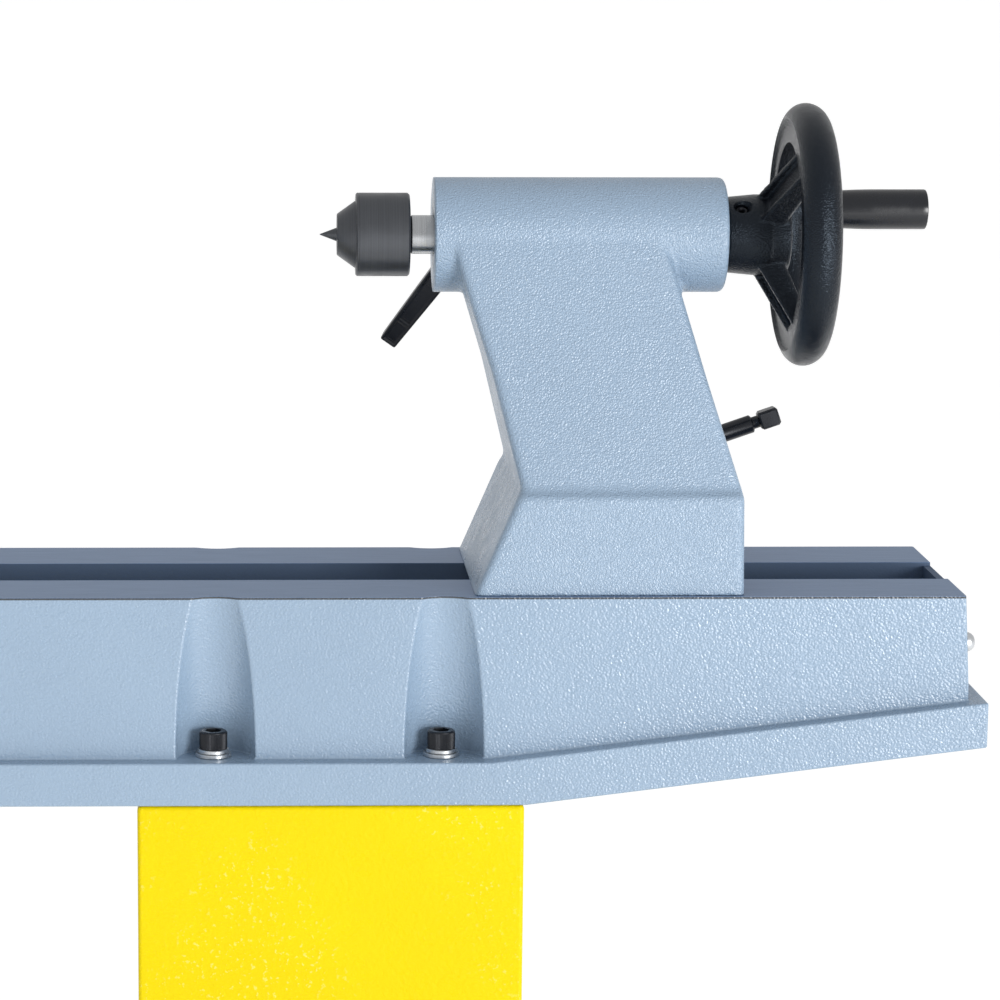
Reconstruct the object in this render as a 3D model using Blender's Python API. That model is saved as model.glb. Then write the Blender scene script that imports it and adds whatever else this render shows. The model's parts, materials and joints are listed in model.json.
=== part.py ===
"""Floor-standing wood lathe, one metre between centres, 460 mm swing.

Frame: origin on the floor under the middle of the machine, +X along the bed towards the tailstock,
+Y to the back, +Z up. Metres. Each moving group hangs from an empty on its joint's axis, and its
pieces are modelled around that empty.
"""
from math import atan2, cos, pi, radians, sin

import bmesh
import bpy
from mathutils import Matrix, Vector

# ---- driving dimensions -------------------------------------------------------------------------
BED_TOP = 0.880            # height of the rails over the floor
SWING = 0.2305             # spindle axis over the rails
BED_LEFT = -0.797
BED_RIGHT = 0.843
FLANGE_RIGHT = 0.858
SLOPE_START = 0.553        # right of here the bed's underside slopes up
RAIL_HALF = 0.091          # half the bed's width over the rails
SLOT_HALF = 0.030
FLANGE_HALF = 0.103
BED_DEPTH = 0.138
FLANGE_TOP = 0.109         # below the rails' top
RAIL_THICK = 0.026
CAVITY_HALF = 0.052
LEG_X = (-0.605, 0.424)
LEG_SIZE = (0.256, 0.204)
BOLT_PITCH = 0.1514
BOLT_Y = 0.081
HEAD_LEFT = -0.797
HEAD_RIGHT = -0.490
HEAD_HALF = 0.095
BELT_MID = -0.734          # the belt's plane
MOTOR_Y = 0.180
MOTOR_Z = 0.075            # over the rails
BANJO_X = -0.210
REST_Y = -0.085            # tool rest post, in front of the banjo's bolt
TAIL_X = 0.600             # tailstock clamp bolt
SHAFT_Z = 0.043            # tailstock clamp shaft over the rails
BARREL_R = 0.0385
QUILL_R = 0.013
GAP = 0.0003               # between pieces that touch
SEG = 20                   # sides of a large round piece
SMALL = 12                 # sides of a small one

for old in list(bpy.data.objects):
    bpy.data.objects.remove(old, do_unlink=True)


# ---- materials ----------------------------------------------------------------------------------
def material(name, colour, roughness, metallic):
    mat = bpy.data.materials.new(name)
    mat.use_nodes = True
    shader = mat.node_tree.nodes["Principled BSDF"]
    shader.inputs["Base Color"].default_value = (*colour, 1.0)
    shader.inputs["Roughness"].default_value = roughness
    shader.inputs["Metallic"].default_value = metallic
    mat.diffuse_color = (*colour, 1.0)
    return mat


CAST = material("cast_grey_blue", (0.40, 0.50, 0.62), 0.45, 0.2)
YELLOW = material("yellow_paint", (1.0, 0.80, 0.01), 0.40, 0.0)
BLACK = material("black_satin", (0.015, 0.016, 0.02), 0.40, 0.1)
DARK = material("blackened_steel", (0.05, 0.05, 0.06), 0.35, 0.8)
STEEL = material("machined_steel", (0.45, 0.44, 0.42), 0.30, 1.0)
RUBBER = material("black_rubber", (0.02, 0.02, 0.02), 0.70, 0.0)
GREEN = material("green_plastic", (0.02, 0.30, 0.07), 0.35, 0.0)
RED = material("red_plastic", (0.60, 0.02, 0.02), 0.35, 0.0)
SCREEN = material("dark_screen", (0.02, 0.05, 0.04), 0.15, 0.0)
MOTOR_GREY = material("motor_grey", (0.10, 0.11, 0.12), 0.50, 0.3)


# ---- modelling helpers --------------------------------------------------------------------------
def pivot(name, x, y, z, parent=None):
    """An empty on a joint's axis. Its place is given in the world."""
    empty = bpy.data.objects.new(name, None)
    bpy.context.scene.collection.objects.link(empty)
    empty.location = (x, y, z)
    if parent:
        empty.parent = parent
        empty.location = Vector((x, y, z)) - world_place(parent)
    return empty


def world_place(obj):
    place = Vector((0, 0, 0))
    while obj:
        place += obj.location
        obj = obj.parent
    return place


def finish(name, bm, mat, parent=None):
    """Make the object. One without a material is a cutter or a shape for a union."""
    bmesh.ops.remove_doubles(bm, verts=bm.verts, dist=1e-6)
    bmesh.ops.recalc_face_normals(bm, faces=bm.faces)
    mesh = bpy.data.meshes.new(name)
    bm.to_mesh(mesh)
    bm.free()
    obj = bpy.data.objects.new(name, mesh)
    bpy.context.scene.collection.objects.link(obj)
    obj.parent = parent
    if mat:
        mesh.materials.append(mat)
        mesh.shade_smooth()
        mesh.set_sharp_from_angle(angle=radians(35))
    else:
        obj.hide_render = True
        obj.display_type = "WIRE"
    return obj


def add_prism(bm, outline, axis, low, high):
    """Extrude a closed outline along an axis. The outline's two numbers are the other two axes in order."""
    def place(a, b, c):
        return {"X": (c, a, b), "Y": (a, c, b), "Z": (a, b, c)}[axis]
    first = [bm.verts.new(place(a, b, low)) for a, b in outline]
    face = bm.faces.new(first)
    moved = bmesh.ops.extrude_face_region(bm, geom=[face])["geom"]
    step = Vector(place(0, 0, high - low))
    bmesh.ops.translate(bm, vec=step, verts=[v for v in moved if isinstance(v, bmesh.types.BMVert)])
    return bm


def add_box(bm, low, high):
    rectangle = [(low[0], low[1]), (high[0], low[1]), (high[0], high[1]), (low[0], high[1])]
    return add_prism(bm, rectangle, "Z", low[2], high[2])


def add_turned(bm, profile, axis, centre=(0, 0, 0), segments=SEG, closed=False):
    """Turn a profile of (along, radius) points about an axis through centre. A closed one makes a ring."""
    middle = Vector(centre)
    along = {"X": Vector((1, 0, 0)), "Y": Vector((0, 1, 0)), "Z": Vector((0, 0, 1))}[axis]
    side = {"X": Vector((0, 0, 1)), "Y": Vector((1, 0, 0)), "Z": Vector((0, 1, 0))}[axis]
    verts = [bm.verts.new(middle + along * a + side * r) for a, r in profile]
    edges = [bm.edges.new(pair) for pair in zip(verts, verts[1:])]
    if closed:
        edges.append(bm.edges.new((verts[-1], verts[0])))
    bmesh.ops.spin(bm, geom=verts + edges, cent=middle, axis=along, angle=2 * pi, steps=segments,
                   use_merge=True)
    return bm


def arc(cx, cy, radius, start, end, steps):
    """Points on a circle from start to end, both in degrees."""
    angles = [radians(start + (end - start) * i / steps) for i in range(steps + 1)]
    return [(cx + radius * cos(a), cy + radius * sin(a)) for a in angles]


def bored(radius, segments=SEG):
    """The corner radius of a faceted bore that keeps a gap to a round piece of this radius."""
    return (radius + GAP) / cos(pi / segments)


def box(name, low, high, mat, parent=None):
    return finish(name, add_box(bmesh.new(), low, high), mat, parent)


def prism(name, outline, axis, low, high, mat, parent=None):
    return finish(name, add_prism(bmesh.new(), outline, axis, low, high), mat, parent)


def turned(name, profile, axis, mat, parent=None, centre=(0, 0, 0), segments=SEG):
    """A solid of revolution whose profile starts and ends on the axis."""
    full = [(profile[0][0], 0.0)] + list(profile) + [(profile[-1][0], 0.0)]
    return finish(name, add_turned(bmesh.new(), full, axis, centre, segments), mat, parent)


def ring(name, profile, axis, mat, parent=None, centre=(0, 0, 0), segments=SEG):
    """A ring of revolution with a closed profile that stays off the axis."""
    bm = add_turned(bmesh.new(), profile, axis, centre, segments, closed=True)
    return finish(name, bm, mat, parent)


def rod(name, low, high, radius, axis, mat, parent=None, centre=(0, 0, 0), segments=SMALL):
    profile = [(low, radius), (high, radius)]
    return turned(name, profile, axis, mat, parent, centre, segments)


def tube(low, high, inner, outer):
    """The closed profile of a plain ring."""
    return [(low, inner), (low, outer), (high, outer), (high, inner)]


def boolean(target, tool, operation):
    mod = target.modifiers.new(operation.lower() + "_" + tool.name, "BOOLEAN")
    mod.operation = operation
    mod.solver = "EXACT"
    mod.object = tool


def cut(target, *tools):
    for tool in tools:
        boolean(target, tool, "DIFFERENCE")


def join(target, *tools):
    for tool in tools:
        boolean(target, tool, "UNION")


def hexagon(radius, turn=0.0):
    return arc(0, 0, radius, turn, turn + 300, 5)


def stadium(y1, z1, y2, z2, radius, steps=10):
    """Outline of a belt or its guard: two half circles joined by straight runs, as (y, z) points."""
    lean = atan2(z2 - z1, y2 - y1) * 180 / pi
    return (arc(y2, z2, radius, lean - 90, lean + 90, steps)
            + arc(y1, z1, radius, lean + 90, lean + 270, steps))


# ---- bed and stand ------------------------------------------------------------------------------
def flute_cutter(name, x, side):
    """A leaning half-round recess over one bolt, wide at the flange and running out at the rail."""
    radius = 0.0262
    bm = bmesh.new()
    rings = []
    for z, y in ((-FLANGE_TOP, RAIL_HALF), (0.012, RAIL_HALF + 0.0240)):
        rings.append([bm.verts.new((a, b, z)) for a, b in arc(x, side * y, radius, 0, 345, 23)])
    bm.faces.new(rings[0])
    bm.faces.new(rings[1])
    bmesh.ops.bridge_loops(bm, edges=[e for e in bm.edges if e.is_boundary])
    return finish(name, bm, None, BED_FRAME)


def bolt_places():
    """Every bed bolt, as (x, side): side -1 is the front."""
    offsets = (-BOLT_PITCH / 2, BOLT_PITCH / 2)
    return [(leg + dx, side) for leg in LEG_X for dx in offsets for side in (-1, 1)]


def bed_cutters():
    """The slot, the long cavity under the rails, the bays between ribs, the flutes and the bolt holes."""
    web = 0.013
    left = BED_LEFT + 0.020
    right = BED_RIGHT - web
    tools = [
        box("bed_slot_cutter", (left, -SLOT_HALF, -RAIL_THICK - 0.004), (right, SLOT_HALF, 0.01),
            None, BED_FRAME),
        box("bed_slot_end_cutter", (right - 0.002, -SLOT_HALF, -0.0025), (BED_RIGHT + 0.03, SLOT_HALF, 0.01),
            None, BED_FRAME),
        box("bed_cavity_cutter", (left, -CAVITY_HALF, -0.078), (right, CAVITY_HALF, -RAIL_THICK),
            None, BED_FRAME)]
    ribs = [left, -0.480, -0.160, 0.160, 0.420]
    for i, start in enumerate(ribs):
        end = (ribs + [0.700])[i + 1] - 0.012
        tools.append(box(f"bed_bay_cutter_{i}", (start, -CAVITY_HALF, -BED_DEPTH - 0.01),
                         (end, CAVITY_HALF, -0.070), None, BED_FRAME))
    for i, (x, side) in enumerate(bolt_places()):
        tools.append(flute_cutter(f"flute_cutter_{i}", x, side))
        tools.append(rod(f"bed_hole_cutter_{i}", -BED_DEPTH - 0.01, -FLANGE_TOP + 0.01, bored(0.006, SMALL),
                         "Z", None, BED_FRAME, (x, side * BOLT_Y, 0)))
    return tools


def make_bed():
    """Two rails over side walls and a flange. The right end slopes up below."""
    low = 0.004 - BED_DEPTH
    side = [(BED_LEFT + 0.002, 0.0), (BED_RIGHT, 0.0), (BED_RIGHT + 0.004, -0.063),
            (BED_RIGHT + 0.004, -0.090), (SLOPE_START, low), (BED_LEFT + 0.002, low)]
    bed = prism("bed", side, "Y", -RAIL_HALF, RAIL_HALF, CAST, BED_FRAME)
    flange = [(BED_LEFT, -BED_DEPTH), (SLOPE_START, -BED_DEPTH), (FLANGE_RIGHT, -0.100),
              (FLANGE_RIGHT, -0.0695), (0.530, -FLANGE_TOP), (BED_LEFT, -FLANGE_TOP)]
    join(bed, prism("bed_flange", flange, "Y", -FLANGE_HALF, FLANGE_HALF, None, BED_FRAME))
    cut(bed, *bed_cutters())
    rod("end_screw", 0.0, 0.0058, 0.0065, "X", DARK, BED_FRAME, (BED_RIGHT + 0.0030, -0.080, -0.033))
    return bed


def make_bolt(name, x, side):
    """M12 socket head bolt on the flange, with its shank in the leg's top plate."""
    washers = 0.0052
    profile = [(-0.052, 0.006), (washers, 0.006), (washers, 0.009), (washers + 0.012, 0.009)]
    bolt = turned(name, profile, "Z", DARK, BED_FRAME, (x, side * BOLT_Y, -FLANGE_TOP), SMALL)
    socket = prism(name + "_socket", [(x + a, side * BOLT_Y + b) for a, b in hexagon(0.0058)], "Z",
                   -FLANGE_TOP + washers + 0.0055, -FLANGE_TOP + washers + 0.02, None, BED_FRAME)
    cut(bolt, socket)


def make_leg(name, x):
    """Hollow column with a thick top plate, on a foot with a sloping top, on two levelling feet."""
    top = BED_TOP - BED_DEPTH - GAP
    foot_top = 0.095
    half_x, half_y = LEG_SIZE[0] / 2, LEG_SIZE[1] / 2
    frame = pivot(f"leg_frame_{name}", x, 0, 0)
    column = box(f"leg_column_{name}", (-half_x, -half_y, foot_top + GAP), (half_x, half_y, top), YELLOW,
                 frame)
    wall = 0.008
    cut(column, box(f"leg_hollow_{name}", (wall - half_x, wall - half_y, 0),
                    (half_x - wall, half_y - wall, top - 0.024), None, frame))
    for i, (dx, side) in enumerate((a, b) for a in (-0.5, 0.5) for b in (-1, 1)):
        cut(column, rod(f"leg_hole_{name}_{i}", top - 0.03, top + 0.01, bored(0.006, SMALL), "Z", None, frame,
                        (dx * BOLT_PITCH, side * BOLT_Y, 0)))
    slope = [(-0.310, 0.030), (0.310, 0.030), (0.310, 0.055), (0.130, foot_top), (-0.130, foot_top),
             (-0.310, 0.055)]
    foot = prism(f"leg_foot_{name}", slope, "X", -0.140, 0.140, YELLOW, frame)
    cut(foot, box(f"foot_hollow_{name}", (-0.128, -0.100, 0), (0.128, 0.100, foot_top - 0.014), None, frame))
    for i, side in enumerate((-1, 1)):
        centre = (0, side * 0.280, 0)
        cut(foot, rod(f"foot_hole_{name}_{i}", 0.02, 0.09, bored(0.006, SMALL), "Z", None, frame, centre))
        profile = [(0.0, 0.024), (0.010, 0.026), (0.014, 0.012), (0.016, 0.006), (0.076, 0.006)]
        turned(f"levelling_foot_{name}_{i + 1}", profile, "Z", RUBBER, frame, centre, SMALL)


# ---- headstock ----------------------------------------------------------------------------------
def make_headstock():
    """One casting: belt chamber at the left, two bearing walls, a belt tunnel to the motor behind."""
    frame = BED_FRAME
    tunnel_end = -0.680
    arch = [(-HEAD_HALF, GAP), (HEAD_HALF, GAP)] + arc(0, 0.215, HEAD_HALF, 0, 180, 16)
    house = prism("headstock_housing", arch, "X", HEAD_LEFT, HEAD_RIGHT, CAST, frame)
    join(house, prism("tunnel_shape", stadium(0, SWING, MOTOR_Y, MOTOR_Z, 0.079), "X", HEAD_LEFT + 0.0015,
                      tunnel_end, None, frame))
    chamber = (-0.779, -0.689)
    rooms = [
        box("belt_chamber", (chamber[0], -0.082, 0.020), (chamber[1], 0.082, 0.240), None, frame),
        prism("tunnel_room", stadium(0, SWING, MOTOR_Y, MOTOR_Z, 0.070), "X", *chamber, None, frame),
        prism("spindle_chamber", [(-0.082, -0.01), (0.082, -0.01)] + arc(0, 0.215, 0.082, 0, 180, 12), "X",
              -0.665, -0.522, None, frame),
        box("door_opening", (-0.772, -0.11, 0.100), (-0.696, -0.07, 0.205), None, frame),
        rod("outboard_hole", -0.82, -0.77, 0.026, "X", None, frame, (0, 0, SWING), SEG),
        rod("outboard_bearing_bore", -0.70, -0.65, bored(0.040), "X", None, frame, (0, 0, SWING), SEG),
        rod("inboard_bearing_bore", -0.53, -0.48, bored(0.040), "X", None, frame, (0, 0, SWING), SEG),
        rod("motor_shaft_hole", -0.70, -0.67, 0.020, "X", None, frame, (0, MOTOR_Y, MOTOR_Z)),
        rod("index_hole", 0.27, 0.33, bored(0.0035, SMALL), "Z", None, frame, (-0.600, 0, 0))]
    cut(house, *rooms)
    for name, low, high in (("spindle_bearing_outboard", -0.688, -0.666),
                            ("spindle_bearing_inboard", -0.521, -0.4915)):
        ring(name, tube(low, high, bored(0.0225), 0.040), "X", STEEL, frame, (0, 0, SWING))


def make_spindle():
    frame = SPINDLE_FRAME
    outer = [(-0.845, 0.0160), (-0.790, 0.0160), (-0.790, 0.0225), (-0.4890, 0.0225), (-0.4890, 0.030),
             (-0.478, 0.030), (-0.478, 0.0165), (-0.452, 0.0165)]
    bore = [(-0.452, 0.0094), (-0.530, 0.0080), (-0.530, 0.005), (-0.845, 0.005)]
    ring("spindle", outer + bore, "X", STEEL, frame)
    steps = [(-0.768, 0.065), (-0.744, 0.065), (-0.744, 0.0525), (-0.7425, 0.0525), (-0.7415, 0.050),
             (-0.7265, 0.050), (-0.7255, 0.0525), (-0.724, 0.0525), (-0.724, 0.036), (-0.700, 0.036)]
    hub = bored(0.0225)
    ring("spindle_pulley", steps + [(-0.700, hub), (-0.768, hub)], "X", STEEL, frame)
    disc = ring("index_ring", tube(-0.607, -0.593, hub, 0.045), "X", STEEL, frame)
    for i in range(12):
        slot = box(f"index_slot_{i}", (-0.62, -0.0042, 0.036), (-0.58, 0.0042, 0.06), None, frame)
        slot.rotation_euler.x = i * pi / 6
        cut(disc, slot)
    ring("spindle_handwheel", [(-0.8575, 0.060), (-0.8575, 0.074), (-0.852, 0.078), (-0.838, 0.078),
                 (-0.833, 0.073), (-0.833, 0.060), (-0.838, 0.028), (-0.805, 0.024), (-0.805, bored(0.016)),
                 (-0.855, bored(0.016)), (-0.855, 0.026)], "X", BLACK, frame)
    spur = [(-0.520, 0.0072), (-0.4510, 0.0087), (-0.4510, 0.0125), (-0.441, 0.0125), (-0.439, 0.0100),
            (-0.439, 0.004), (-0.431, 0.0006)]
    turned("spur_centre", spur, "X", STEEL, frame)


def make_drive():
    """Motor behind the headstock, and the belt on the middle steps."""
    plate = box("motor_plate", (-0.6795, MOTOR_Y - 0.075, MOTOR_Z - 0.072),
                (-0.669, MOTOR_Y + 0.074, MOTOR_Z + 0.075), CAST, BED_FRAME)
    cut(plate, rod("plate_hole", -0.69, -0.66, 0.020, "X", None, BED_FRAME, (0, MOTOR_Y, MOTOR_Z)))
    case = [(-0.6687, 0.055), (-0.660, 0.070), (-0.652, 0.074), (-0.510, 0.074), (-0.505, 0.070),
            (-0.472, 0.070), (-0.465, 0.062)]
    motor = turned("motor", case, "X", MOTOR_GREY, BED_FRAME, (0, MOTOR_Y, MOTOR_Z))
    cut(motor, rod("motor_bore", -0.68, -0.61, 0.013, "X", None, BED_FRAME, (0, MOTOR_Y, MOTOR_Z)))
    frame = MOTOR_FRAME
    rod("motor_shaft", -0.774, -0.612, 0.0095, "X", STEEL, frame, segments=SMALL)
    steps = [(-0.768, 0.036), (-0.744, 0.036), (-0.744, 0.0525), (-0.7425, 0.0525), (-0.7415, 0.050),
             (-0.7265, 0.050), (-0.7255, 0.0525), (-0.724, 0.0525), (-0.724, 0.065), (-0.700, 0.065)]
    hub = bored(0.0095)
    ring("motor_pulley", steps + [(-0.700, hub), (-0.768, hub)], "X", STEEL, frame)
    inner = bored(0.0503, 20)
    bm = add_prism(bmesh.new(), stadium(0, SWING, MOTOR_Y, MOTOR_Z, inner + 0.004), "X", BELT_MID - 0.0065,
                   BELT_MID + 0.0065)
    belt = finish("drive_belt", bm, RUBBER, BED_FRAME)
    cut(belt, prism("belt_inside", stadium(0, SWING, MOTOR_Y, MOTOR_Z, inner), "X", BELT_MID - 0.02,
                    BELT_MID + 0.02, None, BED_FRAME))


def make_belt_door():
    """Door on the front of the belt chamber, hinged at its left edge."""
    knuckle = rod("belt_door", -0.052, 0.052, 0.0036, "Z", CAST, DOOR_FRAME, segments=SMALL)
    join(knuckle, box("door_plate", (0.0, -0.0024, -0.060), (0.098, 0.0020, 0.060), None, DOOR_FRAME),
         turned("door_knob", [(-0.016, 0.008), (-0.006, 0.010), (0.0, 0.006)], "Y", None, DOOR_FRAME,
                (0.090, 0, 0), SMALL))


def make_index_pin():
    profile = [(-0.0315, 0.0035), (0.0150, 0.0035), (0.0150, 0.010), (0.019, 0.012), (0.030, 0.012),
               (0.033, 0.009)]
    turned("index_pin", profile, "Z", DARK, INDEX_FRAME, segments=SMALL)


def make_controls():
    """Control box on the headstock's front, with its display, knob, buttons and switch."""
    front = -0.150
    body = box("control_box", (-0.665, front, 0.060), (-0.500, -HEAD_HALF - GAP, 0.190), BLACK, BED_FRAME)
    cut(body, box("control_hollow", (-0.662, front + 0.003, 0.063), (-0.503, -0.08, 0.187), None, BED_FRAME))
    holes = ((-0.540, 0.152, 0.005), (-0.630, 0.095, 0.0095), (-0.588, 0.095, 0.0085), (-0.540, 0.095, 0.005))
    for i, (x, z, radius) in enumerate(holes):
        centre = (x, 0, z)
        cut(body, rod(f"control_hole_{i}", front - 0.01, front + 0.01, radius, "Y", None, BED_FRAME, centre))
    cut(body, rod("gland_hole", 0.05, 0.07, 0.0075, "Z", None, BED_FRAME, (-0.583, -0.122, 0)))
    turned("cable_gland", [(0.040, 0.007), (0.044, 0.009), (0.050, 0.009), (0.050, 0.0115), (0.0597, 0.0115),
           (0.0597, 0.0070), (0.068, 0.0070)], "Z", BLACK, BED_FRAME, (-0.583, -0.122, 0), SMALL)
    box("display", (-0.648, front - 0.0025, 0.133), (-0.578, front - GAP, 0.171), SCREEN, BED_FRAME)
    knob = [(-0.022, 0.013), (-0.020, 0.015), (-0.004, 0.016), (-GAP, 0.017), (-GAP, 0.004), (0.012, 0.004)]
    turned("speed_knob", knob, "Y", BLACK, KNOB_FRAME)
    cap = [(-0.009, 0.0085), (-0.0075, 0.0090), (0.010, 0.0090)]
    turned("start_button", cap, "Y", GREEN, START_FRAME, segments=SMALL)
    mushroom = [(-0.020, 0.011), (-0.017, 0.0155), (-0.0085, 0.0155), (-0.0075, 0.008), (0.010, 0.008)]
    turned("stop_button", mushroom, "Y", RED, STOP_FRAME)
    switch = rod("direction_switch", -0.008, -GAP, 0.012, "Y", BLACK, SWITCH_FRAME)
    join(switch, box("switch_bar", (-0.0035, -0.018, -0.013), (0.0035, -0.004, 0.013), None, SWITCH_FRAME),
         rod("switch_stem", -0.004, 0.010, 0.004, "Y", None, SWITCH_FRAME))


# ---- tool rest ----------------------------------------------------------------------------------
def make_banjo():
    """Clamp bolt and plate in the bed's slot, the banjo over them, and the lever nut on top."""
    frame = CARRIAGE_FRAME
    bolt = rod("banjo_clamp_bolt", -0.045, 0.064, 0.008, "Z", DARK, frame)
    head = prism("banjo_bolt_head", hexagon(0.0135), "Z", -0.054, -0.0413, None, frame)
    join(bolt, head)
    plate = box("banjo_clamp_plate", (-0.032, -0.048, -0.0410), (0.032, 0.048, -0.0283), DARK, frame)
    cut(plate, rod("banjo_plate_hole", -0.06, 0.0, bored(0.008, SMALL), "Z", None, frame))
    ring("banjo_washer", tube(0.0343, 0.0395, bored(0.008, SMALL), 0.018), "Z", STEEL, SWIVEL_FRAME)
    outline = (arc(0, REST_Y, 0.036, 180, 360, 8) + [(0.040, 0.0)] + arc(0, 0.070, 0.026, 0, 180, 6)
               + [(-0.040, 0.0)])
    banjo = prism("banjo", outline, "Z", GAP, 0.034, CAST, REACH_FRAME)
    join(banjo, rod("banjo_socket", 0.010, 0.105, 0.026, "Z", None, REACH_FRAME, (0, REST_Y, 0), SEG))
    cut(banjo, box("banjo_slot", (-0.0090, -0.040, -0.01), (0.0090, 0.064, 0.05), None, REACH_FRAME),
        rod("banjo_bore", 0.0060, 0.12, bored(0.0125), "Z", None, REACH_FRAME, (0, REST_Y, 0), SEG),
        rod("banjo_lock_hole", REST_Y - 0.04, REST_Y - 0.005, bored(0.005, SMALL), "Y", None, REACH_FRAME,
            (0, 0, 0.080)))
    hub = tube(0.0400, 0.064, bored(0.008, SMALL), 0.0145)
    lever = ring("banjo_lever", hub, "Z", DARK, BANJO_LEVER_FRAME)
    join(lever, slanted_rod("banjo_lever_arm", (0.0115, 0.004, 0.052), (0.085, 0.075, 0.080), 0.006,
                            BANJO_LEVER_FRAME))


def slanted_rod(name, start, end, radius, parent, segments=12, mat=None):
    """A straight round bar between two points."""
    line = Vector(end) - Vector(start)
    bm = add_turned(bmesh.new(), [(0, 0), (0, radius), (line.length, radius), (line.length, 0)], "Z",
                    segments=segments)
    turn = line.to_track_quat("Z", "Y").to_matrix().to_4x4()
    bmesh.ops.transform(bm, matrix=Matrix.Translation(start) @ turn, verts=bm.verts)
    return finish(name, bm, mat, parent)


def make_tool_rest():
    """Post in the banjo's socket, with a leaning blade on top, a stop collar and a lock lever."""
    ring("rest_collar", tube(0.1053, 0.116, bored(0.0125), 0.020), "Z", DARK, HEIGHT_FRAME)
    blade = [(-0.028, 0.176), (0.006, 0.176), (0.013, 0.182), (0.018, 0.220), (0.012, 0.223), (-0.004, 0.198),
             (-0.028, 0.186)]
    rest = prism("tool_rest", blade, "X", -0.150, 0.150, CAST, REST_FRAME)
    join(rest, rod("rest_post", 0.040, 0.180, 0.0125, "Z", None, REST_FRAME, segments=SEG))
    lever = turned("rest_lock_lever", [(-0.048, 0.008), (-0.046, 0.010), (-0.0265, 0.010), (-0.0265, 0.005),
                   (-0.0150, 0.005)], "Y", DARK, LOCK_FRAME, segments=SMALL)
    join(lever, slanted_rod("rest_lock_arm", (0.004, -0.038, 0.004), (0.045, -0.044, 0.045), 0.0050,
                            LOCK_FRAME))


# ---- tailstock ----------------------------------------------------------------------------------
def loft(name, rings, mat, parent):
    """Closed skin over rectangles given as (z, x_low, x_high, y_half), bottom first."""
    bm = bmesh.new()
    loops = []
    for z, low, high, half in rings:
        corners = ((low, -half), (high, -half), (high, half), (low, half))
        loops.append([bm.verts.new((x, y, z)) for x, y in corners])
    bm.faces.new(loops[0])
    bm.faces.new(loops[-1])
    for below, above in zip(loops, loops[1:]):
        for i in range(4):
            j = (i + 1) % 4
            bm.faces.new((below[i], below[j], above[j], above[i]))
    return finish(name, bm, mat, parent)


def make_tailstock_body():
    """Base block, a column that leans to the left as it rises, and the quill's barrel."""
    frame = TAIL_FRAME
    rings = [(GAP, -0.0812, 0.0971, 0.0875), (0.0640, -0.0540, 0.0962, 0.0868),
             (0.0710, -0.0510, 0.0945, 0.0800), (0.1420, -0.0690, 0.0725, 0.0613),
             (0.2000, -0.0870, 0.0555, 0.0460), (0.2360, -0.0960, 0.0450, 0.0365)]
    body = loft("tailstock_body", rings, CAST, frame)
    edge = 0.003
    barrel = [(-0.1059, BARREL_R - edge), (edge - 0.1059, BARREL_R), (0.0892 - edge, BARREL_R),
              (0.0892, BARREL_R - edge)]
    join(body, turned("barrel_shape", barrel, "X", None, frame, (0, 0, SWING)),
         box("guide_tongue", (-0.060, -0.0293, -0.0100), (0.075, 0.0293, 0.0100), None, frame))
    lock = (-0.080, 0, 0.220)
    cut(body, box("base_hollow", (-0.030, -0.045, -0.02), (0.030, 0.045, 0.066), None, frame),
        rod("clamp_shaft_bore", -0.070, 0.10, bored(0.010, SMALL), "Y", None, frame, (0, 0, SHAFT_Z)),
        rod("lock_stud_bore", 0.0, 0.05, bored(0.005, SMALL), "Y", None, frame, lock),
        rod("quill_bore", -0.12, 0.10, bored(QUILL_R), "X", None, frame, (0, 0, SWING), SEG))


def make_quill():
    frame = QUILL_FRAME
    front, back = -0.1214, 0.074
    shank = bored(0.0089)
    ring("quill", [(front, QUILL_R - 0.001), (front + 0.001, QUILL_R), (back, QUILL_R), (back, bored(0.008)),
                   (front + 0.070, bored(0.008)), (front, shank)], "X", STEEL, frame)
    turned("live_centre_shank", [(-0.1330, 0.0065), (-0.1216, 0.0065), (-0.1216, 0.0088), (-0.0580, 0.0074)],
           "X", STEEL, frame)
    head = [(-0.1823, 0.0003), (-0.1710, 0.0045), (-0.1707, 0.0143), (-0.1583, 0.0225), (-0.1568, 0.0265),
            (-0.1550, 0.0280), (-0.1240, 0.0280), (-0.1222, 0.0262), (-0.1222, bored(0.0065)),
            (-0.1335, bored(0.0065)), (-0.1335, 0.0)]
    bm = add_turned(bmesh.new(), [(-0.1823, 0.0)] + head, "X")
    finish("live_centre_head", bm, DARK, CENTRE_FRAME)


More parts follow.
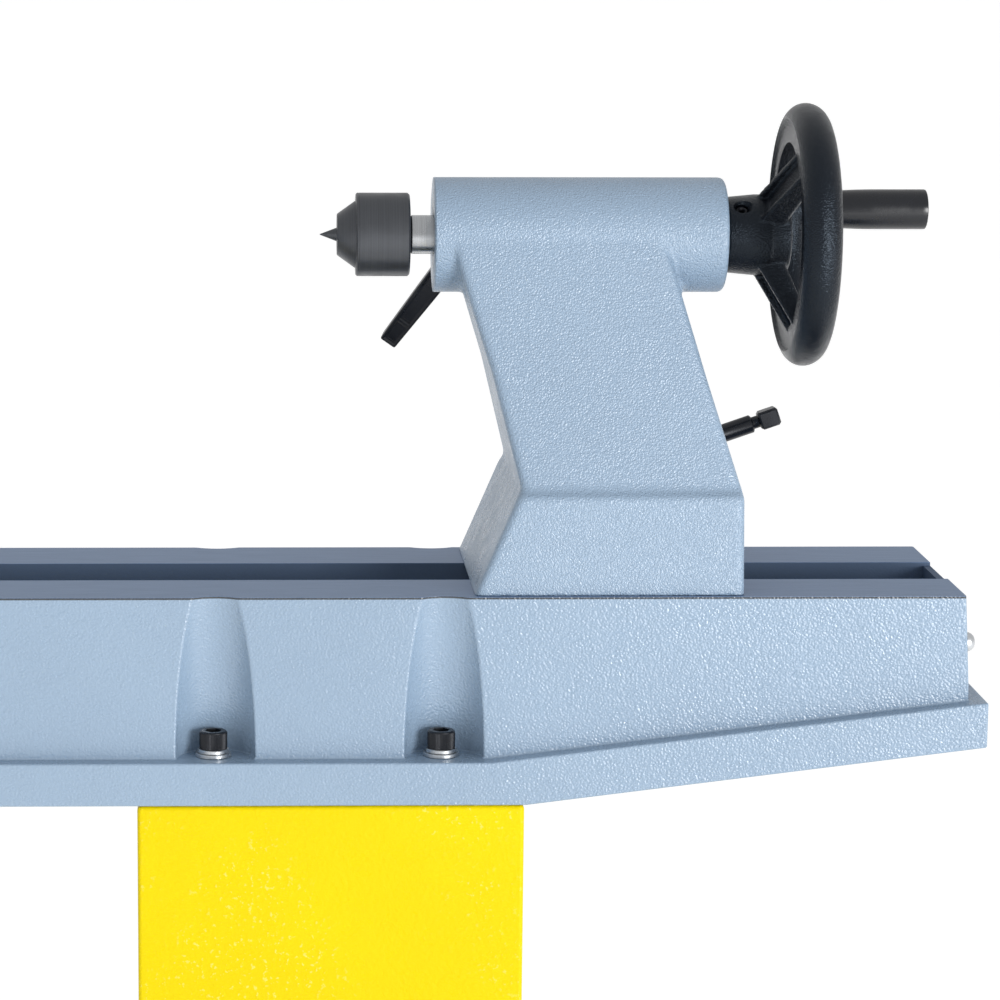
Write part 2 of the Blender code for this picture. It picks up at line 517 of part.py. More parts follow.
def make_handwheel():
    """Dished wheel: a long hub at the left, three spokes that slope out to the rim."""
    frame = WHEEL_FRAME
    rim_x, rim_r, tube_r = 0.1436, 0.0750, 0.0134
    bm = add_turned(bmesh.new(), arc(rim_x, rim_r, tube_r, 0, 315, 7), "X", closed=True, segments=28)
    wheel = finish("handwheel", bm, BLACK, frame)
    hub = [(0.0902, 0.0250), (0.0912, 0.0257), (0.120, 0.0262), (0.126, 0.029), (0.139, 0.027),
           (0.1392, 0.020)]
    join(wheel, turned("hub_shape", hub, "X", None, frame))
    for i in range(3):
        outline = [(0.114, 0.020), (0.137, 0.018), (0.150, 0.0700), (0.140, 0.0700)]
        spoke = prism(f"spoke_shape_{i}", [(x, z) for x, z in outline], "Y", -0.011, 0.011, None, frame)
        spoke.rotation_euler.x = radians(40 - 120 * i)
        join(wheel, spoke)
    boss = rod("grip_boss", rim_x + 0.004, 0.1610, 0.0110, "X", None, frame, GRIP_OFFSET)
    join(wheel, boss)
    set_y, set_z = -cos(radians(51)), sin(radians(51))
    screw_hole = rod("set_screw_hole", 0.004, 0.035, bored(0.004, SMALL), "Z", None, frame)
    screw_hole.location = (0.0998, 0, 0)
    screw_hole.rotation_euler.x = atan2(-set_y, set_z)
    cut(wheel, rod("hub_bore", 0.08, 0.150, bored(0.008), "X", None, frame, segments=SEG), screw_hole,
        rod("grip_bolt_hole", 0.1440, 0.170, bored(0.004, SMALL), "X", None, frame, GRIP_OFFSET))
    turned("feed_screw", [(-0.044, 0.0070), (-0.042, 0.0080), (0.1385, 0.0080)], "X", STEEL, frame,
           segments=SMALL)
    screw = rod("hub_set_screw", 0.0085 / cos(pi / SEG), 0.0225, 0.004, "Z", DARK, frame)
    screw.location = (0.0998, 0, 0)
    screw.rotation_euler.x = atan2(-set_y, set_z)
    bolt = [(0.1450, 0.004), (0.2348, 0.004), (0.2348, 0.0065), (0.2393, 0.0065)]
    turned("grip_bolt", bolt, "X", DARK, frame, GRIP_OFFSET, SMALL)
    grip = [(0.1620, bored(0.004, SMALL)), (0.1620, 0.0118), (0.1640, 0.0122), (0.2383, 0.0138),
            (0.2408, 0.0126), (0.2408, 0.0078), (0.2343, 0.0078), (0.2343, bored(0.004, SMALL))]
    ring("handwheel_grip", grip, "X", BLACK, GRIP_FRAME)


def make_tail_levers():
    """Quill lock behind the barrel, and the cross shaft, lever, bolt and plate that clamp the tailstock."""
    stud = [(0.0138, 0.005), (0.0448, 0.005), (0.0448, 0.011), (0.072, 0.010)]
    lock = turned("quill_lock_lever", stud, "Y", DARK, QUILL_LOCK_FRAME, segments=SMALL)
    join(lock, slanted_bar("quill_lock_arm", (0.003, 0.064, 0.004), (-0.0565, 0.105, -0.0790), 0.0130, 0.0110,
                           QUILL_LOCK_FRAME))
    rod("clamp_shaft", -0.068, 0.0893, 0.010, "Y", STEEL, CLAMP_FRAME)
    lever = turned("clamp_lever", [(0.0896, 0.013), (0.1110, 0.013)], "Y", DARK, CLAMP_FRAME, segments=SMALL)
    lean = radians(19.2)
    length = 0.1545
    start = Vector((cos(lean), 0, sin(lean)))
    shaft = slanted_rod("clamp_lever_rod", start * 0.008 + Vector((0, 0.100, 0)),
                        start * (length - 0.0136) + Vector((0, 0.100, 0)), 0.0065, CLAMP_FRAME)
    tip = slanted_rod("clamp_lever_head", start * (length - 0.0140) + Vector((0, 0.100, 0)),
                      start * length + Vector((0, 0.100, 0)), 0.0085, CLAMP_FRAME, segments=4)
    join(lever, shaft, tip)
    eye = ring("clamp_bolt", tube(-0.009, 0.009, 0.0124, 0.0180), "Y", DARK, LIFT_FRAME, (0, 0, SHAFT_Z))
    join(eye, rod("clamp_bolt_shank", -0.050, SHAFT_Z - 0.015, 0.008, "Z", None, LIFT_FRAME),
         prism("clamp_bolt_nut", hexagon(0.0135), "Z", -0.058, -0.0433, None, LIFT_FRAME))
    plate = box("clamp_plate", (-0.050, -0.048, -0.0430), (0.050, 0.048, -0.0290), DARK, LIFT_FRAME)
    cut(plate, rod("clamp_plate_hole", -0.06, 0.0, bored(0.008, SMALL), "Z", None, LIFT_FRAME))


def slanted_bar(name, start, end, width, thick, parent):
    """A straight flat bar between two points, its width across the fall line."""
    line = Vector(end) - Vector(start)
    bm = add_box(bmesh.new(), (-width / 2, -thick / 2, 0), (width / 2, thick / 2, line.length))
    turn = line.to_track_quat("Z", "Y").to_matrix().to_4x4()
    bmesh.ops.transform(bm, matrix=Matrix.Translation(start) @ turn, verts=bm.verts)
    return finish(name, bm, None, parent)


# ---- the assembly -------------------------------------------------------------------------------
AXIS_Z = BED_TOP + SWING
GRIP_OFFSET = (0, 0.075, 0.0111)
BED_FRAME = pivot("bed_frame", 0, 0, BED_TOP)
SPINDLE_FRAME = pivot("spindle_axis", 0, 0, AXIS_Z)
MOTOR_FRAME = pivot("motor_axis", 0, MOTOR_Y, BED_TOP + MOTOR_Z)
DOOR_FRAME = pivot("belt_door_axis", -0.7860, -HEAD_HALF - 0.0040, BED_TOP + 0.1525)
INDEX_FRAME = pivot("index_pin_axis", -0.600, 0, BED_TOP + 0.310)
KNOB_FRAME = pivot("speed_knob_axis", -0.540, -0.150, BED_TOP + 0.152)
START_FRAME = pivot("start_button_axis", -0.630, -0.150, BED_TOP + 0.095)
STOP_FRAME = pivot("stop_button_axis", -0.588, -0.150, BED_TOP + 0.095)
SWITCH_FRAME = pivot("direction_switch_axis", -0.540, -0.150, BED_TOP + 0.095)
CARRIAGE_FRAME = pivot("banjo_carriage", BANJO_X, 0, BED_TOP)
BANJO_LEVER_FRAME = pivot("banjo_lever_axis", BANJO_X, 0, BED_TOP, CARRIAGE_FRAME)
SWIVEL_FRAME = pivot("banjo_swivel_axis", BANJO_X, 0, BED_TOP, CARRIAGE_FRAME)
REACH_FRAME = pivot("banjo_reach", BANJO_X, 0, BED_TOP, SWIVEL_FRAME)
HEIGHT_FRAME = pivot("rest_height", BANJO_X, REST_Y, BED_TOP, REACH_FRAME)
REST_FRAME = pivot("rest_axis", BANJO_X, REST_Y, BED_TOP, HEIGHT_FRAME)
LOCK_FRAME = pivot("rest_lock_axis", BANJO_X, REST_Y, BED_TOP + 0.080, REACH_FRAME)
TAIL_FRAME = pivot("tailstock_frame", TAIL_X, 0, BED_TOP)
QUILL_FRAME = pivot("quill_axis", TAIL_X, 0, AXIS_Z, TAIL_FRAME)
CENTRE_FRAME = pivot("live_centre_axis", TAIL_X, 0, AXIS_Z, QUILL_FRAME)
WHEEL_FRAME = pivot("handwheel_axis", TAIL_X, 0, AXIS_Z, TAIL_FRAME)
GRIP_FRAME = pivot("grip_axis", TAIL_X, GRIP_OFFSET[1], AXIS_Z + GRIP_OFFSET[2], WHEEL_FRAME)
QUILL_LOCK_FRAME = pivot("quill_lock_axis", TAIL_X - 0.080, 0, BED_TOP + 0.220, TAIL_FRAME)
CLAMP_FRAME = pivot("clamp_lever_axis", TAIL_X, 0, BED_TOP + SHAFT_Z, TAIL_FRAME)
LIFT_FRAME = pivot("clamp_lift", TAIL_X, 0, BED_TOP, TAIL_FRAME)

make_bed()
for number, (bolt_x, bolt_side) in enumerate(p for p in bolt_places() if p[1] < 0):
    make_bolt(f"bed_bolt_{number + 1}", bolt_x, bolt_side)
for leg_name, leg_x in zip(("left", "right"), LEG_X):
    make_leg(leg_name, leg_x)
make_headstock()
make_spindle()
make_drive()
make_belt_door()
make_index_pin()
make_controls()
make_banjo()
make_tool_rest()
make_tailstock_body()
make_quill()
make_handwheel()
make_tail_levers()
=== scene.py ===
"""Looks of the wood lathe: fine castings, turned parts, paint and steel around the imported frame.

Metres, in the frame's own axes: +X along the bed towards the tailstock, +Y to the back, +Z up.
"""
import json
from math import atan2, cos, pi, radians, sin

import bmesh
import bpy
from mathutils import Matrix, Vector


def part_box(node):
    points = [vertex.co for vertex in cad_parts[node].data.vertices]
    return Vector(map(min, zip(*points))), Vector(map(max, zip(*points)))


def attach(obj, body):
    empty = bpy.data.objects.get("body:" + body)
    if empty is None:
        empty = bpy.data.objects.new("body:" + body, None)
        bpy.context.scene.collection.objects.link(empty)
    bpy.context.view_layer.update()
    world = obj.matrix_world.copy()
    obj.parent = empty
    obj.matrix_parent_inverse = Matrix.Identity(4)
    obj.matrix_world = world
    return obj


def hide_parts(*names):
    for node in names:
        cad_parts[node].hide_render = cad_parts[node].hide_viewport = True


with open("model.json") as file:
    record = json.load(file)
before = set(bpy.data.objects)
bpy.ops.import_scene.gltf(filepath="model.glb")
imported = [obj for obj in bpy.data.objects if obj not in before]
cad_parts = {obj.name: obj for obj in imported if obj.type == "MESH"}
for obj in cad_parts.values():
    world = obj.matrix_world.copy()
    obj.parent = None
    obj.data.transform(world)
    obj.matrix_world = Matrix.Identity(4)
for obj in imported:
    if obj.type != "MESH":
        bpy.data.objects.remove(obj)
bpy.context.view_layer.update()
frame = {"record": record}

JOINTS = {j["name"]: j for j in frame["record"]["behaviour"]["joints"]}
BED_LOW, BED_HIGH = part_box("bed")
TOP = BED_HIGH.z
AXIS = JOINTS["spindle_spin"]["pos_m"][2]
SWING = AXIS - TOP
TAIL_X = JOINTS["clamp_lever_turn"]["pos_m"][0]
FINE = 96                  # sides of a round piece
SHARP = 35                 # degrees; edges turning more than this stay sharp
GAP = 0.0003               # between neighbouring pieces
ORIGIN = (0, 0, 0)
AXES = {"X": Vector((1, 0, 0)), "Y": Vector((0, 1, 0)), "Z": Vector((0, 0, 1))}
SIDES = {"X": Vector((0, 0, 1)), "Y": Vector((1, 0, 0)), "Z": Vector((0, 1, 0))}


# ---- mesh helpers -------------------------------------------------------------------------------
def to_mesh(name, bm):
    mesh = bpy.data.meshes.new(name)
    bm.to_mesh(mesh)
    bm.free()
    mesh.shade_smooth()
    mesh.set_sharp_from_angle(angle=radians(SHARP))
    return mesh


def piece(name, bm):
    bmesh.ops.remove_doubles(bm, verts=bm.verts, dist=1e-6)
    bmesh.ops.recalc_face_normals(bm, faces=bm.faces)
    obj = bpy.data.objects.new(name, to_mesh(name, bm))
    bpy.context.scene.collection.objects.link(obj)
    return obj


def add_prism(bm, outline, axis, low, high):
    def place(a, b, c):
        return {"X": (c, a, b), "Y": (a, c, b), "Z": (a, b, c)}[axis]
    first = [bm.verts.new(place(a, b, low)) for a, b in outline]
    moved = bmesh.ops.extrude_face_region(bm, geom=[bm.faces.new(first)])["geom"]
    step = Vector(place(0, 0, high - low))
    bmesh.ops.translate(bm, vec=step, verts=[v for v in moved if isinstance(v, bmesh.types.BMVert)])
    return bm


def add_turned(bm, profile, axis, centre=ORIGIN, segments=FINE, closed=False):
    middle, along = Vector(centre), AXES[axis]
    verts = [bm.verts.new(middle + along * a + SIDES[axis] * r) for a, r in profile]
    edges = [bm.edges.new(pair) for pair in zip(verts, verts[1:])]
    if closed:
        edges.append(bm.edges.new((verts[-1], verts[0])))
    bmesh.ops.spin(bm, geom=verts + edges, cent=middle, axis=along, angle=2 * pi, steps=segments,
                   use_merge=True)
    return bm


def box(name, low, high):
    corners = [(low[0], low[1]), (high[0], low[1]), (high[0], high[1]), (low[0], high[1])]
    return piece(name, add_prism(bmesh.new(), corners, "Z", low[2], high[2]))


def prism(name, outline, axis, low, high):
    return piece(name, add_prism(bmesh.new(), outline, axis, low, high))


def mm(*points):
    """Points in millimetres."""
    return [(a / 1000, b / 1000) for a, b in points]


def capped(profile):
    """The same profile, closed at both ends on the axis."""
    return [(profile[0][0], 0.0), *profile, (profile[-1][0], 0.0)]


def turned(name, profile, axis, centre=ORIGIN, segments=FINE):
    return piece(name, add_turned(bmesh.new(), capped(profile), axis, centre, segments))


def ring(name, profile, axis, centre=ORIGIN, segments=FINE):
    return piece(name, add_turned(bmesh.new(), profile, axis, centre, segments, closed=True))


def rod(name, low, high, radius, axis, centre=ORIGIN, segments=FINE):
    return turned(name, [(low, radius), (high, radius)], axis, centre, segments)


def tube(low, high, inner, outer, edge=0.0004):
    """Closed profile of a ring with broken outer edges."""
    return [(low, inner), (low, outer - edge), (low + edge, outer), (high - edge, outer),
            (high, outer - edge), (high, inner)]


def arc(cx, cy, radius, start, end, steps):
    angles = [radians(start + (end - start) * i / steps) for i in range(steps + 1)]
    return [(cx + radius * cos(a), cy + radius * sin(a)) for a in angles]


def stadium(y1, z1, y2, z2, radius, steps=32):
    lean = atan2(z2 - z1, y2 - y1) * 180 / pi
    return (arc(y2, z2, radius, lean - 90, lean + 90, steps)
            + arc(y1, z1, radius, lean + 90, lean + 270, steps))


def between(name, start, end, radius, segments=32, profile=None):
    """A round bar between two points. A profile gives (share of its length, radius) points."""
    line = Vector(end) - Vector(start)
    shape = profile or [(0, radius - 0.0006), (0.0006 / line.length, radius),
                        (1 - 0.0006 / line.length, radius), (1, radius - 0.0006)]
    points = [(share * line.length, r) for share, r in shape]
    bm = add_turned(bmesh.new(), capped(points), "Z", segments=segments)
    bmesh.ops.transform(bm, matrix=facing(start, line), verts=bm.verts)
    return piece(name, bm)


def facing(start, way):
    """Moves a piece modelled along +Z from the origin to a start, and points it along a way."""
    return Matrix.Translation(start) @ way.to_track_quat("Z", "Y").to_matrix().to_4x4()


def about(obj, centre, angle, axis="X"):
    """Turn a piece modelled at the origin about an axis, then move it to its centre."""
    obj.data.transform(Matrix.Translation(centre) @ Matrix.Rotation(angle, 4, axis))
    return obj


def knurled(x, y, radius, depth, count):
    """Outline of a round piece with that many grooves."""
    outline = []
    for i in range(2 * count):
        reach = radius - depth * (i % 2)
        outline.append((x + cos(i * pi / count) * reach, y + sin(i * pi / count) * reach))
    return outline


def hexagon(name, centre, radius, low, high, start=0):
    outline = [(centre[0] + a, centre[1] + b) for a, b in arc(0, 0, radius, start, start + 300, 5)]
    return prism(name, outline, "Z", low, high)


def middle_of(node):
    low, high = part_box(node)
    return (low + high) / 2


def settle(obj):
    """Apply every modifier."""
    graph = bpy.context.evaluated_depsgraph_get()
    mesh = bpy.data.meshes.new_from_object(obj.evaluated_get(graph), preserve_all_data_layers=True,
                                           depsgraph=graph)
    obj.modifiers.clear()
    obj.data = mesh
    return obj


def boolean(target, operation, tools):
    for tool in tools:
        mod = target.modifiers.new(tool.name, "BOOLEAN")
        mod.operation = operation
        mod.object = tool
    settle(target)
    for tool in tools:
        bpy.data.objects.remove(tool, do_unlink=True)
    return target


def cut(target, *tools):
    return boolean(target, "DIFFERENCE", tools)


def union(target, *tools):
    return boolean(target, "UNION", tools)


def together(target, *others):
    """Several bodies in one object."""
    bm = bmesh.new()
    for obj in (target, *others):
        bm.from_mesh(obj.data)
    target.data = to_mesh(target.name, bm)
    for obj in others:
        bpy.data.objects.remove(obj, do_unlink=True)
    return target


def weighted(obj, keep_sharp):
    """Shading normals that follow the large faces."""
    mod = obj.modifiers.new("normals", "WEIGHTED_NORMAL")
    mod.weight = 50
    mod.keep_sharp = keep_sharp
    return settle(obj)


def weigh(obj, smooth=SHARP):
    """Clean up after cuts: flat faces stay flat, and rounded edges between them take the shading."""
    bm = bmesh.new()
    bm.from_mesh(obj.data)
    bmesh.ops.remove_doubles(bm, verts=bm.verts, dist=2e-5)
    bmesh.ops.dissolve_degenerate(bm, dist=2e-5, edges=bm.edges)
    bmesh.ops.triangulate(bm, faces=[f for f in bm.faces if len(f.verts) > 4])
    bmesh.ops.recalc_face_normals(bm, faces=bm.faces)
    mesh = bpy.data.meshes.new(obj.name)
    bm.to_mesh(mesh)
    bm.free()
    if "custom_normal" in mesh.attributes:
        mesh.attributes.remove(mesh.attributes["custom_normal"])
    mesh.shade_smooth()
    mesh.set_sharp_from_angle(angle=radians(smooth))
    obj.data = mesh
    return weighted(obj, True)


def soften(obj, width, steps=3, clamp=True):
    """Round every sharp edge."""
    mod = obj.modifiers.new("edges", "BEVEL")
    mod.width = width
    mod.segments = steps
    mod.limit_method = "ANGLE"
    mod.angle_limit = radians(28)
    mod.use_clamp_overlap = clamp
    mod.harden_normals = True
    return settle(obj)


def cast(obj, voxel, rounds, keep=0.25):
    """Give a casting its soft fillets: remesh, relax, and thin out the flat faces."""
    remesh = obj.modifiers.new("skin", "REMESH")
    remesh.mode = "VOXEL"
    remesh.voxel_size = voxel
    remesh.use_smooth_shade = True
    relax = obj.modifiers.new("relax", "SMOOTH")
    relax.factor = 0.5
    relax.iterations = rounds
    thin = obj.modifiers.new("thin", "DECIMATE")
    thin.ratio = keep
    settle(obj)
    obj.data.shade_smooth()
    return weighted(obj, False)


def dress(obj, body, mat, *nodes):
    """Ride on a body, stand for CAD nodes and wear a material."""
    obj.data.materials.clear()
    obj.data.materials.append(mat)
    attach(obj, body)
    if nodes:
        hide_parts(*nodes)
    return obj


def spun(node, profile, axis, mat, centre=ORIGIN, body=None, closed=False, segments=FINE):
    """A fine turned piece in place of a faceted CAD node of the same name."""
    make = ring if closed else turned
    obj = make(node + "_fine", profile, axis, centre, segments)
    return dress(obj, body or body_of(node), mat, node)


def body_of(node):
    return next(b for b, nodes in frame["record"]["behaviour"]["bodies"].items() if node in nodes)


# ---- material helpers ---------------------------------------------------------------------------
class Shader:
    """A Principled material and the few nodes that its detail needs."""

    def __init__(self, name, colour, roughness, metallic=0.0):
        self.mat = bpy.data.materials.new(name)
        self.mat.use_nodes = True
        self.tree = self.mat.node_tree
        self.bsdf = self.tree.nodes["Principled BSDF"]
        self.colour = (*colour, 1.0)
        self.bsdf.inputs["Base Color"].default_value = self.colour
        self.bsdf.inputs["Roughness"].default_value = roughness
        self.bsdf.inputs["Metallic"].default_value = metallic
        self.place = self.node("ShaderNodeTexCoord").outputs["Object"]
        self.bump_chain = None
        self.bump_strength = None

    def node(self, kind, **values):
        made = self.tree.nodes.new(kind)
        for key, value in values.items():
            setattr(made, key, value)
        return made

    def link(self, source, target):
        self.tree.links.new(source, target)

    def stretched(self, scale):
        """Object coordinates times a scale for each axis."""
        mapping = self.node("ShaderNodeMapping")
        mapping.inputs["Scale"].default_value = scale
        self.link(self.place, mapping.inputs["Vector"])
        return mapping.outputs["Vector"]

    def noise(self, scale, detail=2.0, rough=0.5, vector=None):
        tex = self.node("ShaderNodeTexNoise")
        tex.inputs["Scale"].default_value = scale
        tex.inputs["Detail"].default_value = detail
        tex.inputs["Roughness"].default_value = rough
        self.link(vector or self.place, tex.inputs["Vector"])
        return tex.outputs["Fac"]

    def span(self, value, low, high, to_low=0.0, to_high=1.0):
        ramp = self.node("ShaderNodeMapRange", interpolation_type="SMOOTHSTEP")
        for key, number in (("From Min", low), ("From Max", high), ("To Min", to_low), ("To Max", to_high)):
            ramp.inputs[key].default_value = number
        self.link(value, ramp.inputs["Value"])
        return ramp.outputs["Result"]

    def math(self, operation, a, b):
        node = self.node("ShaderNodeMath", operation=operation)
        for slot, value in zip(node.inputs, (a, b)):
            if isinstance(value, (int, float)):
                slot.default_value = value
            else:
                self.link(value, slot)
        return node.outputs[0]

    def mix(self, factor, a, b):
        """Mix two colours, each a colour or a socket."""
        node = self.node("ShaderNodeMix", data_type="RGBA")
        self.link(factor, node.inputs["Factor"])
        for slot, value in ((node.inputs[6], a), (node.inputs[7], b)):
            if isinstance(value, tuple):
                slot.default_value = (*value[:3], 1.0)
            else:
                self.link(value, slot)
        return node.outputs[2]

    def bump(self, height, strength, distance):
        node = self.node("ShaderNodeBump")
        node.inputs["Strength"].default_value = strength
        node.inputs["Distance"].default_value = distance
        self.link(height, node.inputs["Height"])
        if self.bump_chain:
            self.link(self.bump_chain, node.inputs["Normal"])
        self.bump_chain = node.outputs["Normal"]
        self.bump_strength = node.inputs["Strength"]
        self.link(self.bump_chain, self.bsdf.inputs["Normal"])

    def wear(self, tint, amount, scale=7.0):
        """Broad, faint variation of the colour."""
        faint = self.span(self.noise(scale, 4.0), 0.35, 0.65, 0.0, amount)
        self.base(self.mix(faint, self.colour, tint))

    def base(self, socket):
        self.link(socket, self.bsdf.inputs["Base Color"])

    def rough(self, low, high, scale=60.0):
        self.link(self.span(self.noise(scale, 3.0), 0.3, 0.7, low, high), self.bsdf.inputs["Roughness"])


PEEL = 800.0               # orange peel of the castings, in waves to a metre


def peel(shader, strength=0.7, scale=PEEL * 1.45, distance=0.0008):
    """Rounded pimples of hammertone powder coat."""
    cells = shader.node("ShaderNodeTexVoronoi", feature="SMOOTH_F1")
    cells.inputs["Scale"].default_value = scale * 0.72
    cells.inputs["Smoothness"].default_value = 0.8
    shader.link(shader.place, cells.inputs["Vector"])
    grains = shader.math("MULTIPLY", cells.outputs["Distance"], -0.9)
    shader.bump(shader.math("ADD", shader.noise(scale * 0.8, 0.5), grains), strength, distance)


CAST_BLUE = (0.246, 0.336, 0.446)


def cast_paint(name="cast_paint", machined=None):
    """Light blue-grey powder coat. Machined is the height of the bare ground faces."""
    s = Shader(name, CAST_BLUE, 0.38)
    s.bsdf.inputs["Specular IOR Level"].default_value = 0.7
    s.wear((0.22, 0.302, 0.404), 0.55, 5.0)
    s.rough(0.24, 0.36)
    if machined:
        peel(s, 0.42, PEEL * 1.05)
        bare_faces(s, machined)
    else:
        peel(s)
    return s.mat


def bare_faces(s, top):
    """Ground iron on top of the rails, a thin dark line in the colour just under their top edge, and
    painted shade on the walls in the slot.
    """
    place = s.node("ShaderNodeSeparateXYZ")
    s.link(s.place, place.inputs["Vector"])
    bare = s.span(place.outputs["Z"], top - 0.0003, top - 0.0001)
    # a thin dark band in the colour, about 1 mm high, just under the ground top
    line = s.span(place.outputs["Z"], top - 0.0018, top - 0.0012)
    across = s.math("ABSOLUTE", place.outputs["Y"], 0.0)
    # painted shade in the slot: every face within about 31 mm of the middle gets a dark colour, the middle
    # of the bed's ends too
    inside = s.span(across, 0.0306, 0.0316, 1.0, 0.0)
    painted = s.bsdf.inputs["Base Color"].links[0].from_socket
    streaks = s.noise(1.0, 3.0, 0.6, s.stretched((25.0, 900.0, 1.0)))
    steel = s.mix(s.span(streaks, 0.3, 0.7), (0.098, 0.17, 0.3), (0.14, 0.222, 0.372))
    edge = s.mix(line, painted, (0.03, 0.036, 0.045))
    # the paint with its dark edge line, and the painted shade on the slot's walls
    with_slot_shade = s.mix(inside, edge, (0.046, 0.082, 0.15))
    s.base(s.mix(bare, with_slot_shade, steel))
    s.link(s.math("MULTIPLY", bare, 0.25), s.bsdf.inputs["Metallic"])
    coat = s.bsdf.inputs["Roughness"].links[0].from_socket
    gloss = s.math("MAXIMUM", s.math("MULTIPLY", bare, 0.44), s.math("MULTIPLY", inside, 0.75))
    s.link(s.math("MAXIMUM", coat, gloss), s.bsdf.inputs["Roughness"])
    coarse = s.span(place.outputs["X"], TAIL_X - 0.25, TAIL_X + 0.1, 0.34, 0.62)
    smooth = s.span(s.math("MAXIMUM", bare, inside), 0.2, 0.8, 1.0, 0.15)
    s.link(s.math("MULTIPLY", coarse, smooth), s.bump_strength)


def yellow_paint():
    """Glossy wrinkled paint, with pale specks painted into its colour in patches as highlights."""
    s = Shader("yellow_paint", (0.7, 0.55, 0.0005), 0.3)
    s.bsdf.inputs["Specular IOR Level"].default_value = 0.12
    # painted highlights: pale specks put into the colour where the fine noise peaks, only inside broad
    # patches
    painted_glints = s.span(s.noise(330.0, 2.0, 0.55), 0.605, 0.7)
    patches = s.span(s.noise(14.0, 2.0), 0.42, 0.62)
    faint = s.span(s.noise(9.0, 4.0), 0.35, 0.65, 0.0, 0.4)
    paint = s.mix(faint, s.colour, (0.66, 0.505, 0.0004))
    # mixes the pale painted-highlight colour into the yellow
    s.base(s.mix(s.math("MULTIPLY", painted_glints, patches), paint, (0.72, 0.61, 0.1)))
    s.rough(0.24, 0.36)
    s.bump(s.noise(330.0, 2.0, 0.55), 0.5, 0.001)
    s.bump(s.noise(60.0, 1.0), 0.15, 0.002)
    return s.mat


def black_coat():
    """Fine-grained powder coat with a cold sheen."""
    s = Shader("black_powder_coat", (0.0032, 0.004, 0.0062), 0.36)
    s.bsdf.inputs["Specular IOR Level"].default_value = 0.3
    s.bsdf.inputs["Specular Tint"].default_value = (0.68, 0.83, 1.0, 1.0)
    s.wear((0.006, 0.007, 0.01), 0.5, 30.0)
    s.rough(0.17, 0.27, 120.0)
    s.bump(s.noise(900.0, 1.5), 0.8, 0.0008)
    return s.mat


def plain(name, colour, low, high, metallic=0.0, grain=900.0, strength=0.12):
    """Any finish whose only detail is a little colour, gloss and grain."""
    s = Shader(name, colour, low, metallic)
    s.wear(tuple(c * 0.75 for c in colour), 0.5, 25.0)
    s.rough(low, high)
    s.bump(s.noise(grain, 2.0), strength, 0.0003)
    return s.mat


def turned_steel(name, colour, low, high, metallic, axis="X"):
    """Lathe-turned metal: fine marks that run round the axis."""
    s = Shader(name, colour, low, metallic)
    scale = {"X": (2600.0, 6.0, 6.0), "Y": (6.0, 2600.0, 6.0), "Z": (6.0, 6.0, 2600.0)}[axis]
    marks = s.noise(1.0, 2.0, 0.6, s.stretched(scale))
    s.base(s.mix(s.span(marks, 0.3, 0.7), tuple(c * 0.8 for c in colour), colour))
    s.rough(low, high, 90.0)
    s.bump(marks, 0.08, 0.0002)
    return s.mat


PAINT = cast_paint()
BED_PAINT = cast_paint("bed_paint", TOP)
YELLOW = yellow_paint()
BLACK = black_coat()
GRIP = plain("grip_plastic", (0.0045, 0.0058, 0.0095), 0.2, 0.32, grain=400.0, strength=0.1)
OXIDE = plain("black_oxide", (0.01, 0.012, 0.017), 0.22, 0.38, 0.4)
LIVE = turned_steel("live_centre_steel", (0.085, 0.09, 0.1), 0.3, 0.42, 0.75)
STEEL = turned_steel("turned_steel", (0.5, 0.515, 0.53), 0.22, 0.34, 1.0)
STEEL_Z = turned_steel("turned_steel_upright", (0.52, 0.51, 0.48), 0.24, 0.36, 1.0, "Z")
ALLOY = turned_steel("pulley_alloy", (0.62, 0.63, 0.64), 0.26, 0.38, 1.0)
ZINC = plain("zinc_plate", (0.62, 0.64, 0.66), 0.25, 0.4, 0.95)
RUBBER = plain("black_rubber", (0.018, 0.018, 0.019), 0.6, 0.75, grain=1200.0, strength=0.3)
PLASTIC = plain("control_plastic", (0.018, 0.019, 0.021), 0.38, 0.5, grain=1600.0, strength=0.3)
GREEN = plain("green_plastic", (0.01, 0.22, 0.045), 0.22, 0.32)
RED = plain("red_plastic", (0.52, 0.008, 0.008), 0.22, 0.32)
GLASS = plain("smoked_window", (0.012, 0.018, 0.02), 0.06, 0.12, strength=0.02)
MOTOR = plain("motor_paint", (0.045, 0.05, 0.055), 0.4, 0.55, grain=700.0, strength=0.3)
PALE = plain("pale_print", (0.55, 0.57, 0.58), 0.4, 0.55)


# ---- bed and stand ------------------------------------------------------------------------------
FLANGE_TOP = TOP - 0.109
BED_BOTTOM = BED_LOW.z
LEGS = {side: middle_of(f"leg_column_{side}") for side in ("left", "right")}
BOLT_HALF_PITCH = (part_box("bed_bolt_2")[0].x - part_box("bed_bolt_1")[0].x) / 2
BOLT_Y = 0.081
BOLT_SHIFT = -0.0014       # of the bolts in their flutes


def bolt_places():
    pitch = (-BOLT_HALF_PITCH, BOLT_HALF_PITCH)
    return [(leg.x - 0.0007 + dx, side) for leg in LEGS.values() for dx in pitch for side in (-1, 1)]


def flute(x, side, rail):
    """Leaning half-round recess over a bolt."""
    bm = bmesh.new()
    rings = []
    lean = 0.024 / 0.121
    for z in (FLANGE_TOP - 0.012, TOP + 0.012):
        y = rail + (z - FLANGE_TOP) * lean
        rings.append([bm.verts.new((a, b, z)) for a, b in arc(x, side * y, 0.0262, 0, 355, 71)])
    bm.faces.new(rings[0])
    bm.faces.new(rings[1])
    bmesh.ops.bridge_loops(bm, edges=[e for e in bm.edges if e.is_boundary])
    return piece(f"flute_{x:.2f}_{side}", bm)


